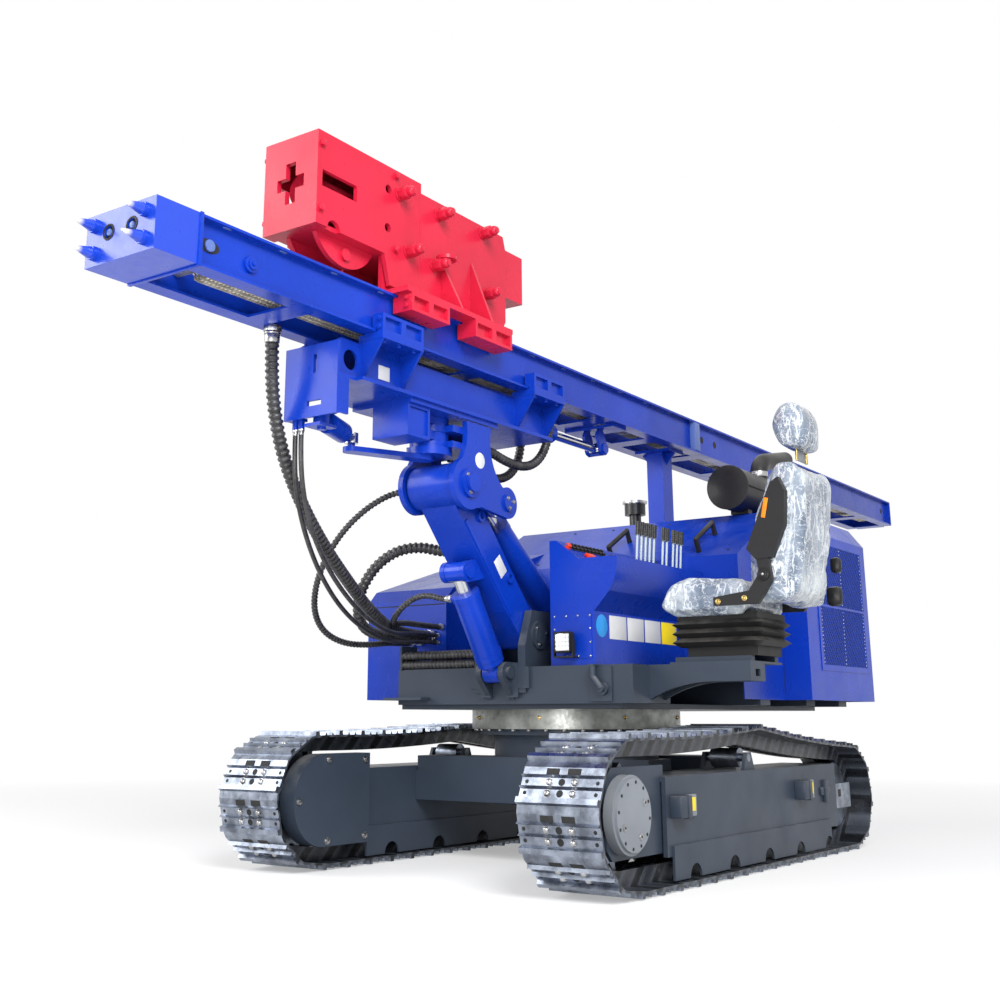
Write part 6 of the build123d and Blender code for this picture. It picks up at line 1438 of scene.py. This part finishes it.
# %% Inside of the tracks
AXLE_LINE_Z = 0.29
LINK_STEP = 0.086
for node_name in ("track_left", "track_right"):
    inside_finish, tree = node_tree(f"{node_name}_finish")
    place, normal = object_place(tree), facing_normal(tree)
    x, y, z = (one_axis(tree, place, axis) for axis in "XYZ")
    held = add_node(tree, "Clamp", {"Value": x, "Min": IDLER[0], "Max": SPROCKET[0]}).outputs[0]
    middle = add_node(tree, "CombineXYZ", {"X": held, "Y": y, "Z": AXLE_LINE_Z}).outputs[0]
    outward = add_node(tree, "VectorMath", {0: place, 1: middle}, operation="SUBTRACT").outputs[0]
    facing = add_node(tree, "VectorMath", {0: outward, 1: normal}, operation="DOT_PRODUCT")
    inward_grease_and_shade = spread(tree, facing.outputs["Value"], -0.03, -0.09)
    side_face = spread(tree, maths(tree, "ABSOLUTE", one_axis(tree, normal, "Y")), 0.6, 0.8)
    inside = maths(tree, "MAXIMUM", inward_grease_and_shade, side_face)
    # Stripes along the run: painted shade in the gaps between links, and a paler band of painted light
    # on each link.
    wave = maths(tree, "PINGPONG", maths(tree, "ADD", x, z), LINK_STEP)
    links = ramp(tree, spread(tree, wave, 0.0, LINK_STEP),
                 ((0.0, (0.006, 0.007, 0.009)), (0.28, (0.012, 0.014, 0.018)),
                  (0.40, (0.075, 0.085, 0.105)), (0.85, (0.030, 0.035, 0.045))))
    stain = ramp(tree, noise(tree, 14.0, 5.0),
                 ((0.35, (0.125, 0.140, 0.172)), (0.7, (0.36, 0.40, 0.48))))
    shaded(tree, mix_colour(tree, inside, stain, links), uneven(tree, 45.0, 0.24, 0.44),
           bump(tree, noise(tree, 180.0), 0.15, 0.0008), ramp(tree, inside, ((0.0, 1.0), (1.0, 0.25))))
    nodes[node_name].data.materials[0] = inside_finish
    print(node_name, "finish with", len(tree.nodes), "nodes")

# %% [markdown]
# Pins in the arm have flat caps, each held by three bolts. The cradle's guide blocks and the hammer
# carriage's blocks are bolted to their shelves. All of them are the same washer with a hexagonal
# head in two sizes, so one function makes the model.

# %% Arm bolts
BOLT_ANGLES = (45, 165, 285)
# Each pin: node, x, height, the face its cap lies on, and the bolts' distance from its middle
CAPS = (("head", 1.110, 1.645, 0.168, 0.044), ("head", 0.810, 1.597, 0.166, 0.026),
        ("boom_bracket", 0.550, 1.020, 0.153, 0.044), ("boom_bracket", 0.150, 1.090, 0.153, 0.030))


def hex_bolt(washer, reach, height):
    """A washer with a hexagonal head on it."""
    return [disc(washer, 0.0, 0.002, 20), disc(reach, 0.002, height, 6, 0.001)]


for number, (node_name, x, z, face, reach) in enumerate(CAPS, 1):
    body = "head" if node_name == "head" else "upper"
    places = []
    for turn in map(math.radians, BOLT_ANGLES):
        bolt_x, bolt_z = x + reach * math.cos(turn), z + reach * math.sin(turn)
        places += both_sides(bolt_x, face, bolt_z, size=0.8)
    finished(f"pin_cap_bolts_{number}", (body, slot_of[node_name]),
             hex_bolt(0.0125, 0.0095, 0.010), places, bolt_steel)
guide_places = [stand((1.789, side * 0.200, z), (1, 0, 0)) for side in (-1, 1) for z in (2.178, 2.214)]
guide_places += [stand((x, side * 0.190, 2.130), (0, 0, -1)) for side in (-1, 1)
                 for x in (1.560, 1.655, 1.750, 0.44, 0.535, 0.63)]
finished("cradle_bolts", ("cradle", "royal_blue_paint"), hex_bolt(0.0135, 0.0105, 0.011), guide_places)
carriage_places = [stand((1.660, side * 0.235, z), (1, 0, 0))
                   for side in (-1, 1) for z in (2.296, 2.330)]
finished("carriage_bolts", HAMMER, hex_bolt(0.0135, 0.0105, 0.011), carriage_places)

# %% [markdown]
# Three pale stickers on the arm's left side stay blank. They are thin plates and a disc, as on the
# console, and each rides on the part of the arm that it is stuck to.

# %% Blank stickers of the arm
ON_THE_LEFT = (0, 1, 0)
finished("cradle_blank_label", ("cradle", "royal_blue_paint"), [plate(0.072, 0.060, 0.0007)],
         [stand((1.640, 0.1001, 2.030), ON_THE_LEFT)], pale_film)
finished("boom_blank_label", ("boom", "royal_blue_paint"), [plate(0.060, 0.092, 0.0007)],
         [stand((0.790, 0.0952, 1.315), ON_THE_LEFT, 0.70)], pale_film)
finished("head_blank_disc", ("head", "royal_blue_paint"), [disc(0.036, 0.0, 0.0008, 32, 0.0003)],
         [stand((1.031, 0.1541, 1.757), ON_THE_LEFT)], pale_film)

# %% [markdown]
# The last cell measures the box round the dressed rig, leaving out the floor.

# %% Finish
low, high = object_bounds()
